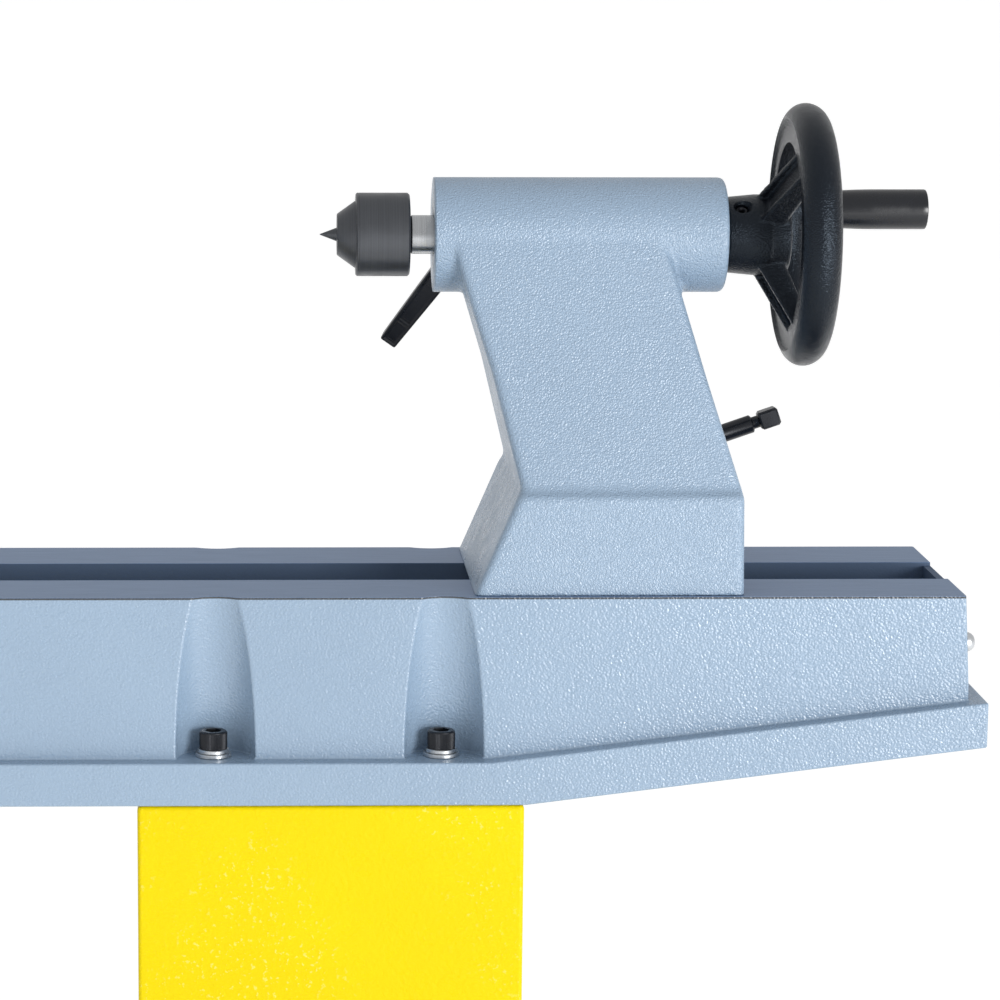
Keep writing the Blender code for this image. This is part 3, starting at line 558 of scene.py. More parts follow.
def make_bed():
    left, right = BED_LOW.x, BED_HIGH.x
    rail_end = right - 0.015
    rail, flange, slot, cavity = 0.091, BED_HIGH.y, 0.03, 0.052
    slope = 0.553
    raw = TOP + 0.006
    side = [(left + 0.002, raw), (rail_end, raw), (rail_end + 0.004, TOP - 0.063),
            (rail_end + 0.004, TOP - 0.095), (slope - 0.02, BED_BOTTOM + 0.006),
            (left + 0.002, BED_BOTTOM + 0.006)]
    bed = prism("bed_casting", side, "Y", -rail, rail)
    cut(bed, *[flute(x, s, rail) for x, s in bolt_places()])
    skirt = [(left, BED_BOTTOM), (slope, BED_BOTTOM), (right, TOP - 0.1), (right, TOP - 0.0695),
             (0.53, FLANGE_TOP), (left, FLANGE_TOP)]
    union(bed, prism("skirt", skirt, "Y", -flange, flange))
    start, end = left + 0.02, rail_end - 0.0045
    ribs = [start, -0.48, -0.16, 0.16, 0.42, 0.7]
    bays = [box(f"bay_{i}", (a, -cavity, BED_BOTTOM - 0.01), (b - 0.012, cavity, TOP - 0.07))
            for i, (a, b) in enumerate(zip(ribs, ribs[1:]))]
    cut(bed, box("cavity", (start, -cavity, TOP - 0.078), (end, cavity, TOP - 0.026)), *bays)
    soften(bed, 0.0014, 3, clamp=False)
    cut(bed, box("ground", (left - 0.1, -0.2, TOP), (right + 0.1, 0.2, TOP + 0.1)),
        box("slot", (start, -slot, TOP - 0.03), (end, slot, TOP + 0.01)),
        box("slot_end", (end - 0.002, -slot, TOP - 0.0025), (right + 0.02, slot, TOP + 0.01)))
    weigh(bed)
    dress(bed, "root", BED_PAINT, "bed")


def make_end_screw():
    """Button head in the right end of the bed."""
    button = mm((-12, 6.5), (-10.2, 6.4), (-8.4, 5.6), (-6.9, 4), (-6.2, 2.2))
    profile = [(BED_HIGH.x + x, r) for x, r in button]
    spun("end_screw", profile, "X", ZINC, (0, -0.08, TOP - 0.033), segments=48)


def make_bolt(number, x, side):
    """Socket head bolt over a spring washer and a flat washer."""
    y = side * BOLT_Y
    x += BOLT_SHIFT
    name = f"bed_bolt_{number}_fine"
    seat = FLANGE_TOP + GAP
    flat = ring(f"flat_washer_{number}", tube(seat, seat + 0.0024, 0.0066, 0.012, 0.0003), "Z", (x, y, 0))
    dress(flat, "root", ZINC)
    spring = ring(f"spring_washer_{number}", tube(seat + 0.0025, seat + 0.005, 0.0064, 0.0103, 0.0004), "Z",
                  (x, y, 0))
    cut(spring, box("split", (x + 0.004, y - 0.0006, seat), (x + 0.012, y + 0.0006, seat + 0.01)))
    dress(spring, "root", ZINC)
    low, high, radius = seat + 0.0052, seat + 0.0171, 0.00925
    head = prism(name, knurled(x, y, radius, 0.0003, 60), "Z", low, high - 0.0012)
    union(head, turned("crown", [(high - 0.0016, radius - 0.0004), (high - 0.0006, radius - 0.0004),
                                 (high, radius - 0.0012)], "Z", (x, y, 0)))
    cut(head, hexagon("socket", (x, y), 0.0058, high - 0.006, high + 0.01, 15))
    shank = rod("shank", FLANGE_TOP - 0.051, low + 0.0005, 0.0059, "Z", (x, y, 0))
    together(head, shank)
    nodes = [f"bed_bolt_{(number + 1) // 2}"] if side < 0 else []
    dress(head, "root", OXIDE, *nodes)


def make_legs():
    for side, middle in LEGS.items():
        low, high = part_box(f"leg_column_{side}")
        wall = 0.008
        column = box(f"leg_column_{side}_fine", low, high)
        soften(column, 0.003, 4)
        cut(column, box("hollow", (low.x + wall, low.y + wall, low.z - 0.1),
                        (high.x - wall, high.y - wall, high.z - 0.024)))
        dress(column, "root", YELLOW, f"leg_column_{side}")
        make_foot(side, middle.x)


def make_foot(side, x):
    low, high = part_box(f"leg_foot_{side}")
    flat = 0.13
    edge = low.z + 0.025
    outline = [(low.y, low.z), (high.y, low.z), (high.y, edge), (flat, high.z), (-flat, high.z),
               (low.y, edge)]
    foot = prism(f"leg_foot_{side}_fine", outline, "X", low.x, high.x)
    soften(foot, 0.005, 4)
    cut(foot, box("hollow", (x - 0.128, -0.1, -0.01), (x + 0.128, 0.1, high.z - 0.014)))
    dress(foot, "root", YELLOW, f"leg_foot_{side}")
    for i, s in enumerate((-1, 1)):
        centre = (x, s * 0.28, 0)
        pad = mm((0, 22.5), (0.8, 24), (10, 26), (11.2, 25), (14, 12.5), (15, 11.5), (15, 6))
        node = f"levelling_foot_{side}_{i + 1}"
        spun(node, pad, "Z", RUBBER, centre)
        thread = [(0.0151, 0.0057)]
        for k in range(34):
            z = 0.016 + k * 0.00175
            thread += [(z, 0.0052), (z + 0.00088, 0.006)]
        stud = turned(f"levelling_stud_{side}_{i + 1}", thread + [(0.0757, 0.005)], "Z", centre, 32)
        dress(stud, "root", ZINC)
        for k, base in enumerate((0.019, low.z + 0.0335)):
            nut = hexagon(f"levelling_nut_{side}_{i + 1}_{k}", centre, 0.0108, base, base + 0.0095)
            soften(nut, 0.0006, 2)
            cut(nut, rod("hole", base - 0.01, base + 0.02, 0.0062, "Z", centre, 32))
            dress(nut, "root", ZINC)


# ---- tailstock ----------------------------------------------------------------------------------
def tail(x, y=0.0, z=0.0):
    """A point given from the clamp bolt, on the bed's top."""
    return Vector((TAIL_X + x, y, TOP + z))


def rounded(low, high, half, z, radius, steps=5):
    """Corners of a rounded rectangle at one height."""
    points = []
    for cx, cy, turn in ((high - radius, half - radius, 0), (low + radius, half - radius, 90),
                         (low + radius, radius - half, 180), (high - radius, radius - half, 270)):
        points += [tail(a, b, z) for a, b in arc(cx, cy, radius, turn, turn + 90, steps)]
    return points


def loft(name, sections):
    """A skin over sections with the same number of points, closed at both ends."""
    bm = bmesh.new()
    loops = [[bm.verts.new(point) for point in section] for section in sections]
    bm.faces.new(loops[0])
    bm.faces.new(loops[-1])
    for below, above in zip(loops, loops[1:]):
        for i in range(len(below)):
            j = (i + 1) % len(below)
            bm.faces.new((below[i], below[j], above[j], above[i]))
    return piece(name, bm)


def make_tailstock():
    """Base, leaning column and barrel in one casting, with its fillets."""
    shape = [(-0.005, -0.0835, 0.0972, 0.0876, 0.0045), (0.063, -0.0545, 0.0962, 0.0868, 0.0055),
             (0.0655, -0.0532, 0.0958, 0.0858, 0.0055), (0.069, -0.0518, 0.0952, 0.0812, 0.0055),
             (0.0725, -0.0514, 0.094, 0.0796, 0.0055), (0.142, -0.069, 0.0725, 0.0612, 0.0055),
             (0.188, -0.0834, 0.059, 0.0492, 0.0055), (SWING, -0.096, 0.0465, 0.0384, 0.0055),
             (0.238, -0.0965, 0.0445, 0.036, 0.0055)]
    body = loft("tailstock_casting", [rounded(a, b, h, z, r) for z, a, b, h, r in shape])
    swell = [(0.181, 0.0, 0.04), (0.19, 0.0012, 0.03), (0.196, 0.004, 0.026), (0.202, 0.009, 0.0265),
             (0.208, 0.016, 0.029)]
    flares = []
    for name, low, high, edge in (("right", -0.01, 0.059, 1), ("left", -0.0834, 0.0, -1)):
        rings = []
        for z, out, half in swell:
            lean = (z - 0.188) * (-0.293 if edge > 0 else -0.296)
            ends = (low, high + lean + out) if edge > 0 else (low + lean - 0.7 * out, high)
            rings.append(rounded(*ends, half, z, 0.008))
        flares.append(loft("flare_" + name, rings))
    barrel_r = 0.0385
    barrel = [(-0.109, 0.0375), (-0.108, barrel_r), (0.0863, barrel_r), (0.0881, 0.0378), (0.0892, 0.036)]
    centre = tail(0, 0, SWING)
    union(body, turned("barrel", barrel, "X", centre, 160), *flares)
    cast(body, 0.0014, 5)
    cut(body, box("ground", tail(-0.1, -0.1, -0.02), tail(0.12, 0.1, GAP)),
        box("faced_end", tail(-0.14, -0.06, SWING - 0.06), tail(-0.1059, 0.06, SWING + 0.06)))
    cut(body, rod("quill_bore", -0.12, 0.1, 0.0134, "X", centre),
        ring("mouth", mm((-120, 10), (-120, 15.2), (-106, 15.2), (-104.8, 13.6), (-104.8, 10)),
             "X", centre),
        box("hollow", tail(-0.03, -0.045, -0.02), tail(0.03, 0.045, 0.066)),
        rod("shaft_bore", -0.07, 0.1, 0.0104, "Y", tail(0, 0, 0.043)),
        rod("stud_bore", 0.0, 0.05, 0.0054, "Y", tail(-0.08, 0, 0.22)))
    dress(body, "tailstock", PAINT, "tailstock_body")
    tongue = box("guide_tongue", tail(-0.06, -0.0293, -0.01), tail(-0.0315, 0.0293, GAP))
    other = box("guide_tongue_rear", tail(0.0315, -0.0293, -0.01), tail(0.075, 0.0293, GAP))
    for block in (tongue, other):
        soften(block, 0.0008, 2)
        dress(block, "tailstock", STEEL_Z)


def make_quill():
    centre = tail(0, 0, SWING)
    quill = mm((-121.4, 9.8), (-121.4, 11.8), (-120.4, 13), (73, 13), (74, 12.2), (74, 8.4), (-51.4, 8.4))
    spun("quill", quill, "X", STEEL, centre, closed=True)
    shank = mm((-133, 6.4), (-121.8, 6.4), (-121.6, 8.8), (-59, 7.5), (-58, 6.8))
    spun("live_centre_shank", shank, "X", STEEL, centre)
    head = mm((-182.3, 0.25), (-171, 4.6), (-170.8, 13.6), (-170.3, 14.2), (-159, 22.3), (-158.3, 22.6),
              (-158.2, 27.1), (-157.3, 28), (-156.4, 28), (-156.2, 27.85), (-156, 28), (-123.4, 28),
              (-122.2, 26.8), (-122.2, 15), (-123.2, 14.6), (-123.2, 6.8), (-133.5, 6.8))
    spun("live_centre_head", head, "X", LIVE, centre)
    screw = mm((-44, 6), (-43, 7))
    for k in range(34):
        x = -0.042 + k * 0.004
        screw += [(x, 0.0066), (x + 0.0008, 0.0079), (x + 0.002, 0.0079), (x + 0.0028, 0.0066)]
    spun("feed_screw", screw + mm((94.5, 7.9), (131.5, 7.9), (132.2, 7.2)), "X", STEEL, centre,
         segments=48)


SPOKES = (40.0, 160.0, 280.0)    # degrees from straight up, turning towards the front


def make_handwheel():
    """Dished wheel: long hub, three channel-shaped spokes, and a rim with a flat band on its left."""
    centre = tail(0, 0, SWING)
    hub = mm((90.2, 24.6), (91, 25.4), (110.8, 27.3), (111.6, 26.6), (112.4, 27.3), (119, 27),
             (120, 25.8), (131.8, 24.8), (132.8, 23.6))
    wheel = turned("handwheel_casting", hub, "X", centre)
    union(wheel, *[about(make_spoke(i), centre, radians(angle)) for i, angle in enumerate(SPOKES)])
    cast(wheel, 0.001, 3, 0.4)
    rim_x, rim_r, tube_r = 0.1436, 0.075, 0.0133
    section = [(rim_x + (1.04 if a > 0 else 0.95) * a, r) for a, r in arc(0, rim_r, tube_r, -66, 164, 40)]
    section += [(rim_x - 0.0117, rim_r + 0.003), (rim_x - 0.0102, rim_r + 0.0018), (rim_x - 0.01, rim_r),
                (rim_x - 0.011, rim_r - 0.0118), (rim_x - 0.0104, rim_r - 0.013),
                (rim_x - 0.0094, rim_r - 0.0133), (rim_x + 0.003, rim_r - 0.0133)]
    boss = Vector((TAIL_X, *JOINTS["grip_spin"]["pos_m"][1:]))
    union(wheel, ring("rim", section, "X", centre, 192),
          turned("boss", mm((150, 12.5), (158.5, 12), (161.2, 10.8)), "X", boss))
    near = Vector((0, -cos(radians(51)), sin(radians(51))))
    foot = tail(0.0998, 0, SWING)
    cut(wheel, rod("hub_bore", 0.08, 0.15, 0.0082, "X", centre),
        between("screw_hole", foot + near * 0.006, foot + near * 0.032, 0.0043),
        between("screw_chamfer", foot + near * 0.0235, foot + near * 0.0275, 0, 48,
                [(0, 0.004), (1, 0.0075)]),
        rod("bolt_hole", 0.144, 0.17, 0.0043, "X", boss))
    weigh(wheel, 40)
    dress(wheel, "handwheel", BLACK, "handwheel")
    screw = between("hub_set_screw_fine", foot + near * 0.0087, foot + near * 0.0224, 0.0039)
    socket = hexagon("socket", ORIGIN, 0.0023, 0.018, 0.03)
    socket.data.transform(facing(foot, near))
    cut(screw, socket)
    dress(screw, "handwheel", OXIDE, "hub_set_screw")
    make_grip(boss)


def make_spoke(number):
    """A channel: a web with a rib along each side, from the hub's shoulder out to the rim's band."""
    half, thick = 0.0125, 0.0038
    web = mm((116, 23), (129, 23), (146.2, 65), (136.2, 65))
    spoke = prism(f"spoke_{number}", web, "Y", 0.001 - half, half - 0.001)
    rib = mm((110.8, 24.5), (127, 23), (145.2, 66), (134, 68), (131.6, 62.5))
    ribs = [prism(f"rib_{number}_{low}", rib, "Y", low, low + thick) for low in (-half, half - thick)]
    return union(spoke, *ribs)


def make_grip(boss):
    """Revolving barrel grip on its shoulder bolt."""
    grip = mm((162, 4.4), (162, 11.2), (162.6, 11.9))
    for k in range(25):
        t = k / 24
        grip.append((0.164 + t * 0.0756, 0.0122 + 0.0017 * sin(pi * 0.5 * min(1.0, t * 1.8))))
    grip += mm((240.4, 13.7), (240.8, 13.2), (240.8, 8.4), (240, 7.8), (234.3, 7.8), (234.3, 4.4))
    spun("handwheel_grip", grip, "X", GRIP, boss, closed=True)
    bolt = turned("grip_bolt_fine", mm((145, 3.6), (145.6, 4), (234.7, 4), (234.9, 6.2),
                                     (238.4, 6.2), (239.2, 5.5)), "X", boss)
    slot = prism("slot", [(boss.y - 0.007, boss.z - 0.0007), (boss.y + 0.007, boss.z - 0.0007),
                          (boss.y + 0.007, boss.z + 0.0007), (boss.y - 0.007, boss.z + 0.0007)], "X",
                 boss.x + 0.2378, boss.x + 0.2408)
    cut(bolt, slot)
    dress(bolt, "handwheel", OXIDE, "grip_bolt")


def make_quill_lock():
    """Moulded lever with a recessed underside and a square pad at its tip, on a threaded stud."""
    pivot = tail(-0.08, 0, 0.22)
    hub = mm((13.8, 4.2), (14.6, 4.9), (44.6, 4.9), (44.8, 10), (46, 11), (70, 10.2), (71.6, 9.4),
             (72, 8))
    lever = turned("quill_lock_lever_fine", hub, "Y", pivot, 64)
    start, end = pivot + Vector((0.003, 0.064, 0.004)), pivot + Vector((-0.0513, 0.105, -0.074))
    line = end - start
    arm = loft("arm", [[(a * wide, b * 0.0052, share * line.length)
                        for a, b in ((-1, -1), (1, -1), (1, 1), (-1, 1))]
                       for share, wide in ((0, 0.0086), (0.55, 0.0074), (1, 0.0062))])
    soften(arm, 0.0013, 3)
    panel = [(-0.0056, 0.3), (0.0056, 0.3), (0.0047, 0.775), (-0.0047, 0.775)]
    pad = [(-0.0044, 0.815), (0.0044, 0.815), (0.0042, 0.965), (-0.0042, 0.965)]
    recess = []
    for name, outline in (("panel", panel), ("pad", pad)):
        shape = prism(name, [(a, share * line.length) for a, share in outline], "Y", 0.0044, 0.02)
        recess.append(soften(shape, 0.0008, 2))
    cut(arm, *recess)
    along = line.normalized()
    across = along.cross(Vector((0, 1, 0))).normalized()
    turn = Matrix((across, along.cross(across), along)).transposed().to_4x4()
    arm.data.transform(Matrix.Translation(start) @ turn)
    union(lever, arm)
    dress(lever, "quill_lock_lever", OXIDE, "quill_lock_lever")


def make_clamp():
    """Cross shaft with its lever behind the column, and the bolt and plate that it pulls up."""
    centre = tail(0, 0, 0.043)
    spun("clamp_shaft", mm((-68, 9.4), (-67.4, 10), (88.7, 10), (89.3, 9.4)), "Y", STEEL,
         centre)
    lean = radians(19.2)
    way = Vector((cos(lean), 0, sin(lean)))
    root, length = centre + Vector((0, 0.1, 0)), 0.1545
    hub = turned("clamp_lever_fine", mm((89.6, 11.8), (90.6, 13), (110, 13), (111, 11.8)),
                 "Y", centre, 64)
    neck = length - 0.0146
    shape = [(0.0, 0.0065), (0.942, 0.0065), (0.947, 0.006), (0.953, 0.0044), (1.0, 0.0044)]
    arm = between("arm", root + way * 0.006, root + way * (neck + 0.002), 0, 48, shape)
    head = prism("head", mm((-6.4, -6.4), (6.4, -6.4), (6.4, 6.4), (-6.4, 6.4)), "Z",
                 neck, length)
    soften(head, 0.0016, 1)
    head.data.transform(facing(root, way))
    union(hub, arm, head)
    dress(hub, "clamp_lever", OXIDE, "clamp_lever")
    eye = ring("clamp_bolt_fine", tube(-0.009, 0.009, 0.0124, 0.0178, 0.001), "Y", centre, 64)
    place = tail(0, 0, 0)
    union(eye, rod("shank", -0.05, 0.028, 0.0079, "Z", place, 64))
    nut = hexagon("clamp_bolt_nut", place, 0.0134, TOP - 0.058, TOP - 0.0433)
    soften(nut, 0.0008, 2)
    union(eye, nut)
    dress(eye, "clamp_lift", OXIDE, "clamp_bolt")
    plate = box("clamp_plate_fine", tail(-0.05, -0.048, -0.043), tail(0.05, 0.048, -0.029))
    soften(plate, 0.0015, 2)
    cut(plate, rod("hole", -0.06, 0.0, 0.0084, "Z", place))
    dress(plate, "clamp_lift", OXIDE, "clamp_plate")


# ---- headstock ----------------------------------------------------------------------------------
MOTOR_Y, MOTOR_Z = JOINTS["motor_spin"]["pos_m"][1:3]
HEAD_LOW, HEAD_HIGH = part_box("headstock_housing")
CHAMBER = (-0.779, -0.689)       # ends of the belt chamber
INDEX_X = -0.6
GLAND = (-0.583, -0.122, 0)


def make_headstock():
    left, right, half, rise = HEAD_LOW.x, HEAD_HIGH.x, 0.095, 0.215
    arch = [(-half, TOP + GAP), (half, TOP + GAP)] + arc(0, TOP + rise, half, 0, 180, 64)
    house = prism("headstock_casting", arch, "X", left, right)
    union(house, prism("tunnel", stadium(0, AXIS, MOTOR_Y, MOTOR_Z, 0.079), "X", left + 0.0015, -0.68),
          turned("nose_boss", [(right - 0.02, 0.052), (right - 0.0002, 0.052)], "X", (0, 0, AXIS)))
    room = [(-0.082, TOP - 0.01), (0.082, TOP - 0.01)]
    cut(house, prism("tunnel_room", stadium(0, AXIS, MOTOR_Y, MOTOR_Z, 0.07), "X", *CHAMBER),
        box("belt_chamber", (CHAMBER[0], -0.082, TOP + 0.02), (CHAMBER[1], 0.082, TOP + 0.24)),
        prism("spindle_chamber", room + arc(0, TOP + rise, 0.082, 0, 180, 48), "X", -0.665, -0.522),
        box("door_opening", (-0.772, -0.11, TOP + 0.1), (-0.696, -0.07, TOP + 0.205)))
    soften(house, 0.003, 3, clamp=False)
    cut(house, rod("hole_a", -0.82, -0.77, 0.026, "X", (0, 0, AXIS)),
        rod("hole_b", -0.7, -0.65, 0.0405, "X", (0, 0, AXIS)),
        rod("hole_c", -0.53, -0.48, 0.0405, "X", (0, 0, AXIS)),
        rod("hole_d", -0.7, -0.67, 0.02, "X", (0, MOTOR_Y, MOTOR_Z)),
        rod("hole_e", TOP + 0.27, TOP + 0.33, 0.0039, "Z", (INDEX_X, 0, 0)))
    weigh(house)
    dress(house, "root", PAINT, "headstock_housing")
    plate = tube(right + 0.00035, right + 0.0008, 0.0345, 0.05, 0.0002)
    cover = ring("bearing_cover", plate, "X", (0, 0, AXIS))
    dress(cover, "root", STEEL)
    head = [(right + 0.0009, 0.0035), (right + 0.0032, 0.0035), (right + 0.0038, 0.0028)]
    for i, (y, z) in enumerate(((-1, -1), (-1, 1), (1, -1), (1, 1))):
        screw = turned(f"cover_screw_{i}", head, "X", (0, y * 0.0315, AXIS + z * 0.0312), 32)
        dress(screw, "root", OXIDE)
    side = mm((0, 22.8), (0, 27), (1, 27.5), (1, 34.5), (0, 35), (0, 39.5), (0.6, 40))
    for name, low, high in (("outboard", -0.688, -0.666), ("inboard", -0.521, -0.4915)):
        profile = [(low + a, r) for a, r in side] + [(high - a, r) for a, r in reversed(side)]
        spun(f"spindle_bearing_{name}", profile, "X", STEEL, (0, 0, AXIS), closed=True)


def make_spindle():
    centre = (0, 0, AXIS)
    outer = mm((-845, 15.2), (-844, 16), (-790, 16), (-790, 22.1), (-789.4, 22.5), (-489, 22.5),
               (-489, 29.4), (-488.4, 30), (-478.6, 30), (-478, 29.4), (-478, 17), (-474, 17))
    for k in range(6):
        x = -0.4738 + k * 0.0035
        outer += [(x, 0.015), (x + 0.0017, 0.0165)]
    bore = mm((-453, 15.2), (-452, 14), (-452, 9.4), (-530, 8), (-530, 5), (-845, 5))
    spun("spindle", outer + bore, "X", STEEL, centre, closed=True)
    for node, middle, order in (("spindle_pulley", centre, (0.065, 0.05, 0.036)),
                                ("motor_pulley", (0, MOTOR_Y, MOTOR_Z), (0.036, 0.05, 0.065))):
        hole = 0.0228 if node == "spindle_pulley" else 0.0098
        profile = [(-0.768, hole)]
        for start, wide, radius in zip((-0.768, -0.7435, -0.7235), (0.0225, 0.0185, 0.0235), order):
            lip = 0.0022 if radius == 0.05 else 0.0
            profile += [(start, radius + lip), (start + 0.0012, radius + lip), (start + 0.002, radius),
                        (start + wide - 0.001, radius), (start + wide - 0.0002, radius + lip),
                        (start + wide, radius + lip)]
        spun(node, profile + [(-0.7, hole)], "X", ALLOY, middle, closed=True)
    disc = ring("index_ring_fine", tube(-0.607, -0.593, 0.0228, 0.045), "X", centre)
    cut(disc, *[about(box(f"slot_{i}", (-0.62, -0.0042, 0.0355), (-0.58, 0.0042, 0.06)), centre, i * pi / 6)
                for i in range(12)])
    weigh(disc, 40)
    dress(disc, "spindle", ALLOY, "index_ring")
    wheel = (mm((-856, 28), (-850, 32), (-845, 56), (-850, 63))
             + arc(-0.845, 0.07, 0.008, 200, 20, 14) + mm((-836, 62), (-835, 56))
             + mm((-836, 32), (-830, 26.5), (-806, 24.2), (-805, 23.2), (-805, 16.3),
                (-855, 16.3), (-856, 17.5)))
    spun("spindle_handwheel", wheel, "X", BLACK, centre, closed=True)
    make_spur(centre)


def make_spur(centre):
    spur = turned("spur_centre_fine", mm((-520, 6.6), (-519, 7.3), (-451, 8.7), (-451, 11.9),
                                       (-450.4, 12.5), (-443, 12.5), (-440, 6), (-440, 3.6),
                                       (-431.2, 0.3)), "X", centre, 64)
    outline = mm((-445, 3), (-445, 12.2), (-438, 12.2), (-434.5, 11.2), (-440, 4))
    together(spur, *[about(prism(f"blade_{i}", outline, "Y", -0.0011, 0.0011), centre, i * pi / 2)
                     for i in range(4)])
    dress(spur, "spindle", STEEL, "spur_centre")


def make_motor():
    """Ribbed motor case with a fan cover, on its plate."""
    centre = (0, MOTOR_Y, MOTOR_Z)
    case = mm((-668.7, 50), (-668, 60), (-660, 69), (-652, 71.2), (-650.5, 70), (-650, 64), (-515, 64),
              (-514.5, 71.2), (-506, 71.2), (-505, 70))
    motor = turned("motor_fine", case + [(-0.5045, 0.064)], "X", centre)
    together(motor, *[about(box(f"rib_{i}", (-0.6495, -0.0011, 0.06), (-0.515, 0.0011, 0.0737)), centre,
                            i * pi / 20 + pi / 40) for i in range(40)])
    cut(motor, rod("bore", -0.68, -0.66, 0.013, "X", centre))
    dress(motor, "root", MOTOR, "motor")
    cover = turned("motor_fan_cover", mm((-504.4, 70), (-474, 70), (-469, 68), (-465.2, 62)),
                   "X", centre)
    vents = []
    for k, radius in enumerate((0.016, 0.026, 0.036, 0.046, 0.056)):
        for i in range(4):
            start = i * 90 + 8
            outline = (arc(MOTOR_Y, MOTOR_Z, radius + 0.003, start, start + 74, 16)
                       + arc(MOTOR_Y, MOTOR_Z, radius - 0.003, start + 74, start, 16))
            vents.append(prism(f"vent_{k}_{i}", outline, "X", -0.469, -0.46))
    cut(cover, together(*vents))
    dress(cover, "root", MOTOR)
    plate = box("motor_plate_fine", *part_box("motor_plate"))
    soften(plate, 0.004, 3)
    cut(plate, rod("hole", -0.69, -0.66, 0.02, "X", centre))
    dress(plate, "root", PAINT, "motor_plate")
    spun("motor_shaft", mm((-774, 8.8), (-773.3, 9.5), (-612, 9.5)), "X", STEEL, centre, segments=64)
    inner = 0.0509
    outline = stadium(0, AXIS, MOTOR_Y, MOTOR_Z, inner + 0.004, 48)
    belt = prism("drive_belt_fine", outline, "X", -0.7405, -0.7275)
    cut(belt, prism("inside", stadium(0, AXIS, MOTOR_Y, MOTOR_Z, inner, 48), "X", -0.75, -0.72))
    dress(belt, "root", RUBBER, "drive_belt")


def make_door():
    hinge = Vector(JOINTS["belt_door_swing"]["pos_m"])
    low, high = hinge + Vector((0.0, -0.0024, -0.06)), hinge + Vector((0.098, 0.002, 0.06))
    plate = box("belt_door_fine", low, high)
    soften(plate, 0.0016, 3)
    parts = [rod(f"knuckle_{i}", z, z + 0.028, 0.0036, "Z", hinge, 48)
             for i, z in enumerate((-0.05, -0.014, 0.022))]
    knob = mm((-16, 6.8), (-15.4, 8), (-7, 10), (-5.8, 9.8), (-4, 6.2), (0, 6.2))
    parts.append(turned("knob", knob, "Y", hinge + Vector((0.09, 0, 0)), 64))
    panel = [hinge + Vector((0.01, -0.0036, -0.05)), hinge + Vector((0.076, -0.002, 0.05))]
    pad = box("panel", *panel)
    soften(pad, 0.001, 2)
    union(plate, pad, *parts)
    dress(plate, "belt_door", PAINT, "belt_door")


def make_controls():
    """Control box with its bezel, knob scale, buttons and switch."""
    low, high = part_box("control_box")
    body = box("control_box_fine", low, high)
    soften(body, 0.005, 4)
    front = low.y
    knob = Vector(JOINTS["speed_knob_turn"]["pos_m"])
    switch = Vector(JOINTS["direction_switch_turn"]["pos_m"])
    start, stop = middle_of("start_button"), middle_of("stop_button")
    wall = 0.003
    tools = [box("hollow", (low.x + wall, front + wall, low.z + wall),
                 (high.x - wall, high.y + 0.02, high.z - wall))]
    for i, (spot, radius) in enumerate(((knob, 0.005), (start, 0.0095), (stop, 0.0085), (switch, 0.005))):
        tools.append(rod(f"hole_{i}", front - 0.01, front + 0.01, radius, "Y", (spot.x, 0, spot.z), 64))
    tools.append(rod("gland_hole", low.z - 0.01, low.z + 0.01, 0.0075, "Z", GLAND, 48))
    cut(body, *tools)
    dress(body, "root", PLASTIC, "control_box")
    for name, spot, inner, outer in (("start", start, 0.0097, 0.0125), ("stop", stop, 0.0087, 0.0125),
                                     ("switch", switch, 0.0124, 0.0145)):
        profile = tube(front - 0.0014, front - GAP, inner, outer)
        bezel = ring(f"{name}_bezel", profile, "Y", (spot.x, 0, spot.z), 64)
        dress(bezel, "root", ZINC)
    scale = together(*[about(box(f"tick_{i}", (-0.0004, -0.0004, 0.02), (0.0004, 0.0, 0.0235)),
                             (knob.x, front - 0.0001, knob.z), radians(-135 + 27 * i), "Y")
                       for i in range(11)])
    scale.name = "speed_scale"
    dress(scale, "root", PALE)
    make_knobs(front, knob, switch, start, stop)
    frame_low, frame_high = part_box("display")
    window = box("display_fine", frame_low, frame_high)
    soften(window, 0.0009, 2)
    cut(window, box("recess", (frame_low.x + 0.004, frame_low.y - 0.01, frame_low.z + 0.004),
                    (frame_high.x - 0.004, frame_low.y + 0.001, frame_high.z - 0.004)))
    dress(window, "root", GLASS, "display")
    gland = mm((40, 6.2), (40.5, 7), (43.5, 8), (44, 9.5), (50, 9.5), (50.5, 11.2), (59.2, 11.5),
               (59.7, 11), (59.7, 7), (68, 7))
    spun("cable_gland", [(TOP + z, r) for z, r in gland], "Z", PLASTIC, GLAND, segments=64)


